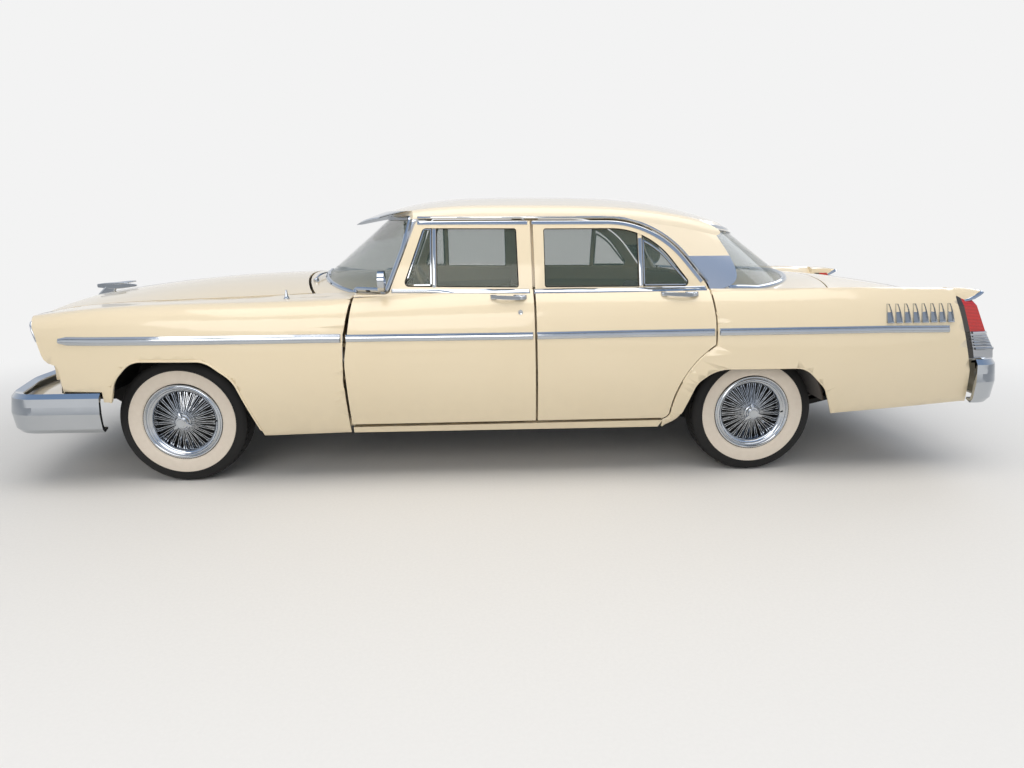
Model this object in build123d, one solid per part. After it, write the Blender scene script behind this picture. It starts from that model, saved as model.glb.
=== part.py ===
from build123d import *
import math
import os

# A four-door saloon of the mid 1950s. X runs to the rear, Y to the car's right, Z up.
# The origin is on the ground below the middle of the overall length and width.

# Driving dimensions, in millimetres
OVERALL_LENGTH = 5613
WHEELBASE = 3200
FRONT_OVERHANG = 990
REAR_OVERHANG = OVERALL_LENGTH - WHEELBASE - FRONT_OVERHANG
BODY_WIDTH = 2004
FRONT_TRACK = 1529
REAR_TRACK = 1514
TYRE_RADIUS = 350
TYRE_WIDTH = 206
RIM_RADIUS = 193

# Panels and gaps
FENDER_WALL = 25
HOOD_WALL = 22
DOOR_SKIN = 10
DOOR_WALL = 95
FRAME_WALL = 28
ROOF_WALL = 34
GLASS = 6
DOOR_GAP = 10
POST_GAP = 6
FRAME_POST_GAP = 8
JAMB_STEP = 12
LID_GAP = 9
HOOD_REAR_GAP = 15
LID_SKIN = 8
SEAT_CLEARANCE = 0.5

# Where the axles lie, and the middle of the wheelbase, from which the outlines are drawn
DRAWN_WHEELBASE = 3200
DRAWN_FRONT_OVERHANG = 990
DRAWN_REAR_OVERHANG = 1423
DRAWN_WIDTH = 2004
FRONT_AXLE_X = FRONT_OVERHANG - OVERALL_LENGTH / 2
REAR_AXLE_X = FRONT_AXLE_X + WHEELBASE
MID_X = (FRONT_AXLE_X + REAR_AXLE_X) / 2
HUB_HEIGHT = TYRE_RADIUS
KINGPIN_OFFSET = 95


def along(x):
    """Place along the car of an outline's point, which is drawn from the middle of the wheelbase."""
    half = DRAWN_WHEELBASE / 2
    inside = max(-half, min(half, x))
    beyond = x - inside
    if beyond < 0:
        stretch = FRONT_OVERHANG / DRAWN_FRONT_OVERHANG
    else:
        stretch = REAR_OVERHANG / DRAWN_REAR_OVERHANG
    return MID_X + inside * WHEELBASE / DRAWN_WHEELBASE + beyond * stretch


def across(y):
    """Half width of a point of a section, which is drawn on the nominal width."""
    return y * BODY_WIDTH / DRAWN_WIDTH


def slab(outline, near, far):
    """Side-view face drawn from the middle of the wheelbase, made solid from y near to y far."""
    return extrude(Pos(0, near, 0) * outline, amount=far - near, dir=(0, 1, 0))


def side_face(points, radii=0):
    """Closed side-view outline of (x, z) points with rounded corners."""
    placed = [(along(x), z) for x, z in points]
    if radii == 0:
        wire = Polyline(*placed, close=True)
    else:
        wire = FilletPolyline(*placed, radius=radii, close=True)
    face = make_face(wire)
    return Plane.XZ * face


def block(x0, x1, y0, y1, z0, z1):
    """Box between two corners, with x drawn from the middle of the wheelbase."""
    left = along(x0)
    right = along(x1)
    centre = ((left + right) / 2, (y0 + y1) / 2, (z0 + z1) / 2)
    return Pos(*centre) * Box(right - left, y1 - y0, z1 - z0)


def rod(start, end, radius):
    """Round bar between two points of the model."""
    a = Vector(*start)
    b = Vector(*end)
    return extrude(Plane(origin=a, z_dir=b - a) * Circle(radius), amount=(b - a).length)


def cross_bar(x, z, radius, y0, y1):
    """Round bar along the axles' direction."""
    return rod((x, y0, z), (x, y1, z), radius)


def other_side(shape):
    """The same piece on the other side of the car."""
    return mirror(shape, about=Plane.XZ)


def both_sides(shape):
    """A piece and its twin on the other side, as one node."""
    return Compound(children=[*shape.solids(), *other_side(shape).solids()])


# Body sections, front to rear, drawn from the middle of the wheelbase.
# Columns: place, half widths at sill and widest, shoulder half width and height,
# crest half width and height, lid seam half width and height, height at the centre.
BODY_STATIONS = (
    (-2450, 850, 900, 890, 850, 838, 928, 600, 915, 965),
    (-2100, 885, 950, 940, 885, 862, 972, 622, 975, 1018),
    (-1500, 905, 992, 968, 905, 868, 1005, 645, 1005, 1082),
    (-700, 905, 1002, 974, 915, 880, 1024, 700, 1040, 1105),
    (0, 905, 1002, 974, 925, 888, 1058, 760, 1062, 1100),
    (1200, 905, 1002, 974, 930, 888, 1064, 770, 1062, 1100),
    (2000, 905, 998, 962, 925, 878, 1064, 770, 1028, 1088),
    (2500, 890, 975, 948, 925, 869, 1060, 764, 992, 1044),
    (2900, 868, 945, 925, 915, 862, 1050, 752, 950, 975),
)
SILL_Z = 270
WIDEST_Z = 690

# How far an inner wall's points move for each millimetre of wall
INNER_DROP_AT_SILL = 0.6
INNER_DROP_AT_SHOULDER = 0.5
INNER_SHARE_AT_CREST = (0.7, 0.9)


def tangent_circle(wide, point):
    """Radius of the circle that is upright at the widest point and passes through another."""
    reach = wide.X - point.X
    return (reach**2 + (point.Y - wide.Y) ** 2) / (2 * reach)


def arc_point(wide, radius, z):
    """Point at height z of the circle that is upright at the widest point."""
    return Vector(wide.X - radius + math.sqrt(radius**2 - (z - wide.Y) ** 2), z)


def flip(v):
    """The same point on the other half of a section."""
    return Vector(-v.X, v.Y)


def body_section(row, inset):
    """Closed section across the lower body, moved in by the wall that inset gives."""
    x, sill, widest, shoulder, shoulder_z, crest, crest_z, seam, seam_z, centre_z = row
    share_y, share_z = INNER_SHARE_AT_CREST
    a = Vector(across(sill) - inset, SILL_Z - INNER_DROP_AT_SILL * inset)
    b = Vector(across(widest) - inset, WIDEST_Z)
    s = Vector(across(shoulder) - inset, shoulder_z - INNER_DROP_AT_SHOULDER * inset)
    c = Vector(across(crest) - share_y * inset, crest_z - share_z * inset)
    d = Vector(across(seam), seam_z - inset)
    top = Vector(0, centre_z - inset)
    low = tangent_circle(b, a)
    high = tangent_circle(b, s)
    low_mid = arc_point(b, low, (a.Y + b.Y) / 2)
    high_mid = arc_point(b, high, (b.Y + s.Y) / 2)
    turn = Vector(b.Y - s.Y, s.X - b.X + high)
    edges = [
        ThreePointArc(a, low_mid, b),
        ThreePointArc(b, high_mid, s),
        TangentArc(s, c, tangent=turn),
        Line(c, d),
        ThreePointArc(d, top, flip(d)),
        Line(flip(d), flip(c)),
        TangentArc(flip(s), flip(c), tangent=flip(turn)),
        ThreePointArc(flip(s), flip(high_mid), flip(b)),
        ThreePointArc(flip(b), flip(low_mid), flip(a)),
        Line(flip(a), a),
    ]
    plane = Plane(origin=(along(x), 0, 0), x_dir=(0, 1, 0), z_dir=(1, 0, 0))
    return plane * make_face(edges)


# Nose and tail, in side view and in plan
NOSE_X = -2418
NOSE_CORNER_X = -2290
NOSE_CORNER_Y = 950
NOSE_LIP_Z = 880
NOSE_TOP = (-2110, 1032)
NOSE_MID = (-2345, 962)
TAIL_X = 2905
TAIL_CORNER_X = 2838
TAIL_CORNER_Y = 1010
TAIL_LIP = (2872, 950)
ABOVE_BODY = 1400
BELOW_BODY = 100


def ends_cutter(inset):
    """Space between the nose's and the tail's curved faces."""
    nose = along(NOSE_X) + inset
    lip = (along(NOSE_X) + inset, NOSE_LIP_Z)
    mid = (along(NOSE_MID[0]) + 0.6 * inset, NOSE_MID[1] - 0.8 * inset)
    crown = (along(NOSE_TOP[0]), NOSE_TOP[1] - inset)
    tail = along(TAIL_X) - inset
    tail_lip = (along(TAIL_LIP[0]) - inset, TAIL_LIP[1])
    edges = [
        Line((nose + 20, BELOW_BODY), lip),
        ThreePointArc(lip, mid, crown),
        Line(crown, (crown[0], ABOVE_BODY)),
        Line((crown[0], ABOVE_BODY), (tail_lip[0], ABOVE_BODY)),
        Line((tail_lip[0], ABOVE_BODY), tail_lip),
        Line(tail_lip, (tail, BELOW_BODY)),
        Line((tail, BELOW_BODY), (nose + 20, BELOW_BODY)),
    ]
    profile = slab(Plane.XZ * make_face(edges), -TAIL_CORNER_Y, TAIL_CORNER_Y)
    front = [(along(NOSE_CORNER_X) + inset, y) for y in (-NOSE_CORNER_Y, NOSE_CORNER_Y)]
    rear = [(along(TAIL_CORNER_X) - inset, y) for y in (-TAIL_CORNER_Y, TAIL_CORNER_Y)]
    wide_front = [(along(NOSE_CORNER_X) + inset, y) for y in (-TAIL_CORNER_Y, TAIL_CORNER_Y)]
    plan = [
        ThreePointArc(front[0], (nose, 0), front[1]),
        Line(front[1], wide_front[1]),
        Line(wide_front[1], rear[1]),
        ThreePointArc(rear[1], (tail, 0), rear[0]),
        Line(rear[0], wide_front[0]),
        Line(wide_front[0], front[0]),
    ]
    return profile & extrude(make_face(plan), amount=ABOVE_BODY)


def body_form(inset):
    """Lower body as one closed form, moved in by inset, with its ends left long."""
    return loft([body_section(row, inset) for row in BODY_STATIONS])


def ended_form(inset):
    """Lower body with its nose and tail shaped."""
    return body_form(inset) & ends_cutter(inset)


# Greenhouse sections, front to rear.
# Columns: place, half width at the belt, half width and height under the drip rail,
# half width and height where the roof starts, height at the centre.
ROOF_STATIONS = (
    (-1000, 893, 778, 1200, 700, 1250, 1300),
    (-450, 893, 758, 1400, 670, 1455, 1497),
    (-100, 893, 758, 1440, 665, 1505, 1556),
    (400, 893, 760, 1440, 665, 1510, 1567),
    (850, 893, 758, 1425, 662, 1497, 1556),
    (1250, 893, 750, 1370, 650, 1440, 1500),
    (1600, 893, 742, 1280, 635, 1340, 1395),
    (2150, 893, 740, 1120, 600, 1165, 1205),
)
GREENHOUSE_FOOT_Z = 1000
SIDE_BULGE = 10


def roof_section(row, inset):
    """Closed section across the greenhouse, moved in by the wall that inset gives."""
    x, belt, drip, drip_z, edge, edge_z, centre_z = row
    a = Vector(across(belt) - inset, GREENHOUSE_FOOT_Z)
    b = Vector(across(drip) - inset, drip_z - 0.2 * inset)
    c = Vector(across(edge) - 0.3 * inset, edge_z - 0.9 * inset)
    top = Vector(0, centre_z - inset)
    side_mid = (a + b) / 2 + Vector(SIDE_BULGE, 0)
    corner_mid = (b + c) / 2 + Vector(0.16, 0.16) * (c - b).length
    edges = [
        ThreePointArc(a, side_mid, b),
        ThreePointArc(b, corner_mid, c),
        ThreePointArc(c, top, flip(c)),
        ThreePointArc(flip(c), flip(corner_mid), flip(b)),
        ThreePointArc(flip(b), flip(side_mid), flip(a)),
        Line(flip(a), a),
    ]
    plane = Plane(origin=(along(x), 0, 0), x_dir=(0, 1, 0), z_dir=(1, 0, 0))
    return plane * make_face(edges)


def roof_form(inset):
    """Arch of the greenhouse from cowl to rear deck, open to both ends."""
    return loft([roof_section(row, inset) for row in ROOF_STATIONS])


# Plan arcs of the two wrapped screens: height, place at the centre, place and half width at the side
WINDSCREEN_ARCS = ((1000, -1039, -370, 900), (1480, -473, -292, 760))
BACKLIGHT_ARCS = ((1000, 2126, 1272, 900), (1450, 1513, 1262, 700))
FAR_BEHIND = 2600
FAR_AHEAD = -1800


def outside_space(arcs, far_x, shift):
    """Space outside a wrapped screen, between its face, moved along the car by shift, and far_x."""
    faces = []
    for z, centre, side, half in arcs:
        ends = [(along(side) + shift, -half), (along(side) + shift, half)]
        back = [(along(far_x), -half), (along(far_x), half)]
        edges = [
            ThreePointArc(ends[0], (along(centre) + shift, 0), ends[1]),
            Line(ends[1], back[1]),
            Line(back[1], back[0]),
            Line(back[0], ends[0]),
        ]
        faces.append(Pos(0, 0, z) * make_face(edges))
    return loft(faces, ruled=True)


def ahead_of_screen(shift):
    """Everything ahead of the windscreen's outer face, moved to the rear by shift."""
    return outside_space(WINDSCREEN_ARCS, FAR_AHEAD, shift)


def behind_backlight(shift):
    """Everything behind the rear window's outer face, moved forward by shift."""
    return outside_space(BACKLIGHT_ARCS, FAR_BEHIND, -shift)


# Side opening for both doors, drawn from the middle of the wheelbase
OPENING_POINTS = (
    (-668, 332),
    (-684, 700),
    (-634, 1052),
    (-447, 1056),
    (-297, 1437),
    (1018, 1437),
    (1302, 1082),
    (1326, 900),
    (1326, 344),
)
OPENING_RADII = (20, 400, 10, 20, 40, 560, 100, 300, 0)
DOOR_ARCH_RADIUS = 500
DOOR_HEEL_RADIUS = 50
B_POST_TOP = (328, 1600)
B_POST_FOOT = (357, 200)


def side_opening(shrink):
    """Side view of the opening that both doors close, made smaller all round by shrink."""
    face = side_face(OPENING_POINTS, OPENING_RADII)
    wheel = Pos(REAR_AXLE_X, 0, HUB_HEIGHT) * (Plane.XZ * Circle(DOOR_ARCH_RADIUS))
    face = (face - wheel).faces().sort_by(SortBy.AREA)[-1]
    heel = face.vertices().filter_by(lambda v: v.Z < 400).sort_by(Axis.X)[-1]
    face = face.fillet_2d(DOOR_HEEL_RADIUS, [heel])
    if shrink:
        face = offset(face, amount=-shrink, kind=Kind.INTERSECTION).faces()[0]
    return face


def post_side(gap, ahead):
    """Side view of everything ahead of, or behind, the line between the doors, clear of it by gap."""
    end_x = -3000 if ahead else 3000
    move = -gap if ahead else gap
    top = (B_POST_TOP[0] + move, B_POST_TOP[1])
    foot = (B_POST_FOOT[0] + move, B_POST_FOOT[1])
    return side_face(((end_x, B_POST_FOOT[1]), foot, top, (end_x, B_POST_TOP[1])))


def door_face(shrink, post_gap, ahead):
    """Side view of one door."""
    return (side_opening(shrink) & post_side(post_gap, ahead)).faces()[0]


# Window openings in the doors
FRONT_WINDOW = ((-364, 1084), (-255, 1389), (249, 1387), (259, 1076))
REAR_WINDOW = ((399, 1076), (396, 1386), (975, 1386), (1212, 1076))
REAR_WINDOW_RADII = (14, 14, 420, 24)
FRONT_WINDOW_RADII = (24, 24, 14, 14)
FRONT_BAR_X = -195
REAR_BAR_X = 926
BAR_WIDTH = 22
OUTSIDE = -1100
DOOR_TOP_INNER_Y = 800
FRAME_FOOT_Z = 1035
FRAME_INNER_Y = -600
FRAME_ROOM = ((-1000, FRAME_FOOT_Z), (1500, FRAME_FOOT_Z), (1500, 1500), (-1000, 1500))
BAR_LEVELS = (1040, 1420)
BAR_INSET = 4
GLASS_INSET = 11


def window_face(ahead, grow):
    """Side view of a door's window, made larger by grow."""
    points, radii = (FRONT_WINDOW, FRONT_WINDOW_RADII) if ahead else (REAR_WINDOW, REAR_WINDOW_RADII)
    face = side_face(points, radii)
    if grow:
        face = offset(face, amount=grow, kind=Kind.INTERSECTION).faces()[0]
    return face


def bar_face(ahead, grow):
    """Side view of the upright bar that divides a door's window."""
    middle = FRONT_BAR_X if ahead else REAR_BAR_X
    half = BAR_WIDTH / 2 + grow
    low, high = BAR_LEVELS
    near = middle - half
    far = middle + half
    return side_face(((near, low), (far, low), (far, high), (near, high)))


def make_door(forms, ahead):
    """Left door: skin, thick inner case with a stepped edge, window frame and its bar."""
    post_outer = POST_GAP
    post_inner = post_outer + JAMB_STEP
    skin = slab(door_face(DOOR_GAP, post_outer, ahead), OUTSIDE, -DOOR_TOP_INNER_Y)
    skin = (skin & forms["body", 0]) - forms["body", DOOR_SKIN]
    case = slab(door_face(DOOR_GAP + JAMB_STEP, post_inner, ahead), OUTSIDE, -DOOR_TOP_INNER_Y)
    case = (case & forms["body", DOOR_SKIN - 2]) - forms["body", DOOR_WALL]
    above = side_face(FRAME_ROOM)
    frame_side = (door_face(DOOR_GAP, FRAME_POST_GAP, ahead) & above).faces()[0]
    frame_side = frame_side - window_face(ahead, 0)
    frame = (slab(frame_side, OUTSIDE, FRAME_INNER_Y) & forms["roof", 0]) - forms["roof", FRAME_WALL]
    bar_side = (bar_face(ahead, 0) & above & door_face(DOOR_GAP, FRAME_POST_GAP, ahead)).faces()[0]
    bar = slab(bar_side, OUTSIDE, FRAME_INNER_Y) & forms["roof", BAR_INSET]
    bar = bar - forms["roof", FRAME_WALL - BAR_INSET]
    if ahead:
        case = case - hinge_pockets(REAR_DOOR_PIN, REAR_HINGE_LEVELS)
        return skin + case + frame + bar + door_straps(FRONT_DOOR_PIN, FRONT_HINGE_LEVELS, FRONT_STRAP)
    return skin + case + frame + bar + door_straps(REAR_DOOR_PIN, REAR_HINGE_LEVELS, REAR_STRAP)


def make_door_glass(forms, ahead):
    """Left door's glass, in its frame and on each side of the bar."""
    side = window_face(ahead, -SEAT_CLEARANCE) - bar_face(ahead, SEAT_CLEARANCE)
    pane = slab(side, OUTSIDE, FRAME_INNER_Y) & forms["roof", GLASS_INSET]
    return pane - forms["roof", GLASS_INSET + GLASS]


# Hood and deck lid in plan: half widths of their side seams
HOOD_SIDES = ((-2480, 594), (-2100, 617), (-1500, 639), (-1150, 655))
HOOD_REAR_CORNER = (-890, 668)
HOOD_REAR_CENTRE_X = -1010
LID_FRONT_CENTRE_X = 2185
LID_FRONT_CORNER = (2060, 700)
LID_REAR_X = 3000
LID_REAR_HALF = 690
LID_FOOT_Z = 676
HOOD_FOOT_Z = 884


def seam_corner(centre_x, corner, grow):
    """Corner of a lid's curved seam, moved out so that the whole seam moves by grow."""
    x, half = corner
    bow = abs(x - centre_x)
    lean = math.asin(2 * half * bow / (half**2 + bow**2))
    way = 1 if x > centre_x else -1
    return (along(x) + way * grow * (1 / math.cos(lean) + math.tan(lean)), half + grow)


def hood_plan(grow):
    """Plan of the hood, made larger by grow."""
    corner = seam_corner(HOOD_REAR_CENTRE_X, HOOD_REAR_CORNER, grow)
    sides = [(along(px), py + grow) for px, py in HOOD_SIDES]
    edges = [
        ThreePointArc(corner, (along(HOOD_REAR_CENTRE_X) + grow, 0), (corner[0], -corner[1])),
        Polyline((corner[0], -corner[1]), *[(px, -py) for px, py in reversed(sides)]),
        Line((sides[0][0], -sides[0][1]), sides[0]),
        Polyline(*sides, corner),
    ]
    return make_face([e for part in edges for e in part.edges()])


def lid_plan(grow):
    """Plan of the deck lid, made larger by grow."""
    corner = seam_corner(LID_FRONT_CENTRE_X, LID_FRONT_CORNER, grow)
    rear = (along(LID_REAR_X), LID_REAR_HALF + grow)
    edges = [
        ThreePointArc(corner, (along(LID_FRONT_CENTRE_X) - grow, 0), (corner[0], -corner[1])),
        Polyline((corner[0], -corner[1]), (rear[0], -rear[1]), rear, corner),
    ]
    return make_face([e for part in edges for e in part.edges()])


def upright(face, z0, z1):
    """Plan face made solid between two heights."""
    return extrude(Pos(0, 0, z0) * face, amount=z1 - z0)


# Hinges of the lids: a pin on the body, and an arm on the lid that bends under the fixed panel
HOOD_PIN = (-898, 1031)
LID_PIN = (1880, 1030)
HOOD_ARM = (95, -58)
LID_ARM = (285, -68)
ARM_Y = 450
ARM_THICK = 10
ARM_HALF_WIDTH = 8
PIN_RADIUS = 6
EYE_RADIUS = 11
PIN_CLEARANCE = 0.3
EAR_THICK = 8
LID_EAR_HALF = 14
LID_EAR_RISE = 40
ARM_HIGH_ANGLE = 10


def hinge_arm(pin, reach, low_angle, way):
    """Bent arm of a lid's hinge, from the pin down and round to the lid's underside."""
    ring = Circle(reach + ARM_HALF_WIDTH) - Circle(reach - ARM_HALF_WIDTH)
    far = 2 * reach
    low = math.radians(low_angle)
    high = math.radians(ARM_HIGH_ANGLE)
    foot = (far * math.cos(low), far * math.sin(low))
    head = (far * math.cos(high), far * math.sin(high))
    wedge = make_face(Polyline((0, 0), foot, (far, 0), head, close=True))
    bar = Rot(0, 0, low_angle) * Pos(reach / 2, 0) * Rectangle(reach, 2 * ARM_HALF_WIDTH)
    end = Pos(reach * math.cos(low), reach * math.sin(low)) * Circle(ARM_HALF_WIDTH)
    flat = (ring & wedge) + bar + end + Circle(EYE_RADIUS)
    flat = (flat - Circle(PIN_RADIUS + PIN_CLEARANCE)).faces()[0]
    if way < 0:
        flat = mirror(flat, about=Plane.YZ)
    placed = Pos(along(pin[0]), 0, pin[1]) * (Plane.XZ * flat)
    arm = slab(placed, ARM_Y, ARM_Y + ARM_THICK)
    return arm + other_side(arm)


def hinge_pins(pin, x0, x1, z0, z1):
    """Pins of a lid's hinge with the ears that hold them, on both sides."""
    near = ARM_Y + ARM_THICK + SEAT_CLEARANCE
    ear = block(x0, x1, near, near + EAR_THICK, z0, z1)
    bar = cross_bar(along(pin[0]), pin[1], PIN_RADIUS, ARM_Y - 2, near + EAR_THICK)
    return ear + bar + other_side(ear + bar)


def make_hood(forms):
    """Hood: an outer skin, an inner frame set in from its edge, and the hinge arms."""
    skin = upright(hood_plan(0), HOOD_FOOT_Z, ABOVE_BODY) & forms["ended", 0]
    frame = upright(hood_plan(-LID_SKIN), HOOD_FOOT_Z, ABOVE_BODY) & forms["ended", LID_SKIN - 2]
    panel = (skin - forms["ended", LID_SKIN]) + (frame - forms["ended", HOOD_WALL])
    return panel + (hinge_arm(HOOD_PIN, *HOOD_ARM, -1) & forms["ended", LID_SKIN])


def make_deck_lid(forms):
    """Boot lid with its hinge arms."""
    piece = upright(lid_plan(0), LID_FOOT_Z, ABOVE_BODY)
    panel = (piece & forms["ended", 0]) - forms["ended", HOOD_WALL]
    return panel + (hinge_arm(LID_PIN, *LID_ARM, 1) & forms["ended", LID_SKIN])


# Door hinges: place of each pin along and across, and the heights of its two hinges
FRONT_DOOR_PIN = (-744, -972)
REAR_DOOR_PIN = (283, -958)
FRONT_HINGE_LEVELS = (600, 780)
REAR_HINGE_LEVELS = (600, 800)
FRONT_STRAP = ((0, 0), (38, 66), (100, 48))
REAR_STRAP = ((0, 0), (48, 51), (95, 39))
STRAP_HALF_HEIGHT = 10
STRAP_THICK = 8
POCKET_HALF = 32
POCKET_Y = -986
POCKET_INNER_Y = -780


def door_straps(pin, levels, route):
    """Bent straps of a left door, each from an eye on its pin round to the door's front edge."""
    x, y = pin
    flat = Circle(EYE_RADIUS)
    for (x0, y0), (x1, y1) in zip(route, route[1:]):
        length = math.hypot(x1 - x0, y1 - y0)
        angle = math.degrees(math.atan2(y1 - y0, x1 - x0))
        bar = Rot(0, 0, angle) * Rectangle(length, STRAP_THICK)
        flat = flat + Pos((x0 + x1) / 2, (y0 + y1) / 2) * bar + Pos(x1, y1) * Circle(STRAP_THICK / 2)
    flat = Pos(along(x), y) * (flat - Circle(PIN_RADIUS + PIN_CLEARANCE))
    straps = [upright(flat, z - STRAP_HALF_HEIGHT, z + STRAP_HALF_HEIGHT) for z in levels]
    return straps[0] + straps[1]


def hinge_pockets(pin, levels):
    """Room for a door's hinges inside the panel ahead of it, both levels as one cutter."""
    x0 = pin[0] - POCKET_HALF
    x1 = pin[0] + 3 * POCKET_HALF
    rooms = [block(x0, x1, POCKET_Y, POCKET_INNER_Y, z - POCKET_HALF, z + POCKET_HALF) for z in levels]
    return rooms[0] + rooms[1]


def door_pins(pin, levels, post_y):
    """Pins of a left door, each between two ears that stand out from its post."""
    x, y = pin
    half = STRAP_HALF_HEIGHT + 1
    outer = half + STRAP_THICK
    pieces = []
    for z in levels:
        for low, high in ((-outer, -half), (half, outer)):
            pieces.append(block(x - EYE_RADIUS, x + EYE_RADIUS, y - EYE_RADIUS, post_y, z + low, z + high))
        pieces.append(rod((along(x), y, z - outer), (along(x), y, z + outer), PIN_RADIUS))
    return pieces[0].fuse(*pieces[1:])


# Lower edges and wheel arches in side view
HEADLAMP_Y = 762
HEADLAMP_Z = 826
LAMP_RADIUS = 94


FENDER_OUTLINE = (
    (-2480, 548), (-2480, 1300), (-600, 1300), (-641, 1025), (-677, 847), (-686, 600), (-670, 292),
    (-1095, 280), (-1600, 280), (-1962, 330), (-1962, 548),
)
FRONT_ARCH = (
    (-1960, 150), (-1942, 430), (-1890, 610), (-1790, 716),
    (-1400, 716), (-1262, 610), (-1185, 400), (-1100, 150),
)
FRONT_ARCH_RADII = (0, 160, 160, 130, 140, 160, 160, 0)
REAR_OUTLINE = (
    (1060, 200), (1060, 1300), (3000, 1300), (3000, 410), (2781, 418), (2044, 366), (2030, 200),
)
REAR_ARCH = (
    (1040, 150), (1068, 302), (1150, 350), (1225, 560), (1330, 640),
    (1830, 640), (1955, 520), (2030, 350), (2060, 150),
)
REAR_ARCH_RADII = (0, 30, 120, 120, 200, 140, 140, 120, 0)
ARCH_INNER_Y = -820
LAMP_REACH = 300
COWL_HALF = 779
COWL_ROOM = (-1001.5, -300, -COWL_HALF - SEAT_CLEARANCE, 0, 900, 1400)
GRILLE_ROOM = (-2600, -2200, -600, 0, 500, 1000)
DOOR_JAMB_Y = -780
DECK_ROOM = (900, 1345, -800, 800, 900, 1300)


def make_front_fender(forms):
    """Left front fender with its wheel arch, its part of the nose and the headlamp's hole."""
    arch = slab(side_face(FRONT_ARCH, FRONT_ARCH_RADII), OUTSIDE, ARCH_INNER_Y)
    piece = slab(side_face(FENDER_OUTLINE), OUTSIDE, -20) - arch
    piece = piece - upright(hood_plan(LID_GAP), HOOD_FOOT_Z - LID_GAP, ABOVE_BODY)
    piece = (piece & forms["ended", 0]) - forms["ended", FENDER_WALL]
    lamp_x = along(NOSE_CORNER_X)
    radius = LAMP_RADIUS + SEAT_CLEARANCE
    start = (lamp_x - LAMP_REACH, -HEADLAMP_Y, HEADLAMP_Z)
    end = (lamp_x + LAMP_REACH, -HEADLAMP_Y, HEADLAMP_Z)
    lamp = rod(start, end, radius)
    pockets = hinge_pockets(FRONT_DOOR_PIN, FRONT_HINGE_LEVELS) & forms["body", DOOR_SKIN - 2]
    piece = piece - lamp - pockets
    piece = piece - block(*COWL_ROOM) - block(*GRILLE_ROOM)
    return piece.solids().sort_by(SortBy.VOLUME)[-1]


def make_rear_body(forms):
    """Both rear quarters with their fins, the panel behind the window and the tail, welded as one."""
    opening = slab(side_opening(0), OUTSIDE, DOOR_JAMB_Y)
    piece = slab(side_face(REAR_OUTLINE), OUTSIDE, -OUTSIDE)
    arch = slab(side_face(REAR_ARCH, REAR_ARCH_RADII), OUTSIDE, ARCH_INNER_Y)
    pod = slab(side_face(POD_OUTLINE), OUTSIDE, -POD_INNER_Y)
    for hole in (opening, arch, pod):
        piece = piece - hole - other_side(hole)
    piece = piece - upright(lid_plan(LID_GAP), LID_FOOT_Z - LID_GAP, ABOVE_BODY)
    piece = piece - block(*DECK_ROOM)
    piece = (piece & forms["ended", 0]) - forms["ended", FENDER_WALL]
    x, z = LID_PIN
    pins = hinge_pins(LID_PIN, x - LID_EAR_HALF, x + LID_EAR_HALF, z - LID_EAR_HALF, z + LID_EAR_RISE)
    piece = piece + (pins & forms["ended", LID_SKIN])
    return piece.solids().sort_by(SortBy.VOLUME)[-1]


ROOF_SIDE_Y = -500
BODY_CLEARANCE = 0.3


def make_roof(forms):
    """Roof with the screen pillars, open to both screens and to the doors."""
    door_hole = slab(side_opening(0), OUTSIDE, ROOF_SIDE_Y)
    shell = forms["roof", 0] - ahead_of_screen(0) - behind_backlight(0)
    shell = shell - door_hole - other_side(door_hole) - forms["roof", ROOF_WALL]
    shell = shell - forms["body", -BODY_CLEARANCE]
    return shell.solids().sort_by(SortBy.VOLUME)[-1]


SCREEN_GAP = 6
SCREEN_DEPTH = 10
SCREEN_LEAN = 1.6
WINDSCREEN_ROOM = (-1200, -240, -900, 900, 1000, 1440)
BACKLIGHT_ROOM = (1250, 2300, -900, 900, 1000, 1400)
VISOR_ROOM = (-1000, -200, -690, 690, 1400, 1600)
VISOR_REACH = (-150, 70)
VISOR_THICK = 7


def make_windscreen(forms):
    """Windscreen, set back from the pillars' faces and clear of the doors."""
    pane = ahead_of_screen(SCREEN_DEPTH + SCREEN_LEAN * GLASS) - ahead_of_screen(SCREEN_DEPTH)
    pane = pane & forms["roof", ROOF_WALL + SEAT_CLEARANCE]
    pane = pane - forms["body", -SEAT_CLEARANCE]
    pane = pane & block(*WINDSCREEN_ROOM)
    door = slab(side_opening(-SCREEN_GAP), OUTSIDE, ROOF_SIDE_Y)
    pane = pane - door - other_side(door)
    return pane.solids().sort_by(SortBy.VOLUME)[-1]


def make_rear_window(forms):
    """Wrapped rear window, set back from the roof's edge."""
    pane = behind_backlight(SCREEN_DEPTH + SCREEN_LEAN * GLASS) - behind_backlight(SCREEN_DEPTH)
    pane = pane & forms["roof", ROOF_WALL + SEAT_CLEARANCE]
    pane = pane - forms["body", -SEAT_CLEARANCE]
    pane = pane & block(*BACKLIGHT_ROOM)
    return pane.solids().sort_by(SortBy.VOLUME)[-1]


def make_sun_visor(forms):
    """Outside visor over the windscreen, a lip of the roof's own curve."""
    lip = (ahead_of_screen(VISOR_REACH[1]) - ahead_of_screen(VISOR_REACH[0])) & block(*VISOR_ROOM)
    lip = (lip & forms["roof", -VISOR_THICK]) - forms["roof", -SEAT_CLEARANCE]
    return lip.solids().sort_by(SortBy.VOLUME)[-1]


COWL_TOP = (-1001, -440, -COWL_HALF, COWL_HALF, 900, 1300)
FIREWALL = (-880, -868, -COWL_HALF, COWL_HALF, 500, 1060)
DASH_SHELF = (-880, -440, -COWL_HALF, COWL_HALF, 985, 993)
FRONT_POST = (-868, -700, -890, -770, 332, 960)
FRONT_POST_FACE_Y = -888
HOOD_EAR = (-10, 20, -10, 8)


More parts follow.
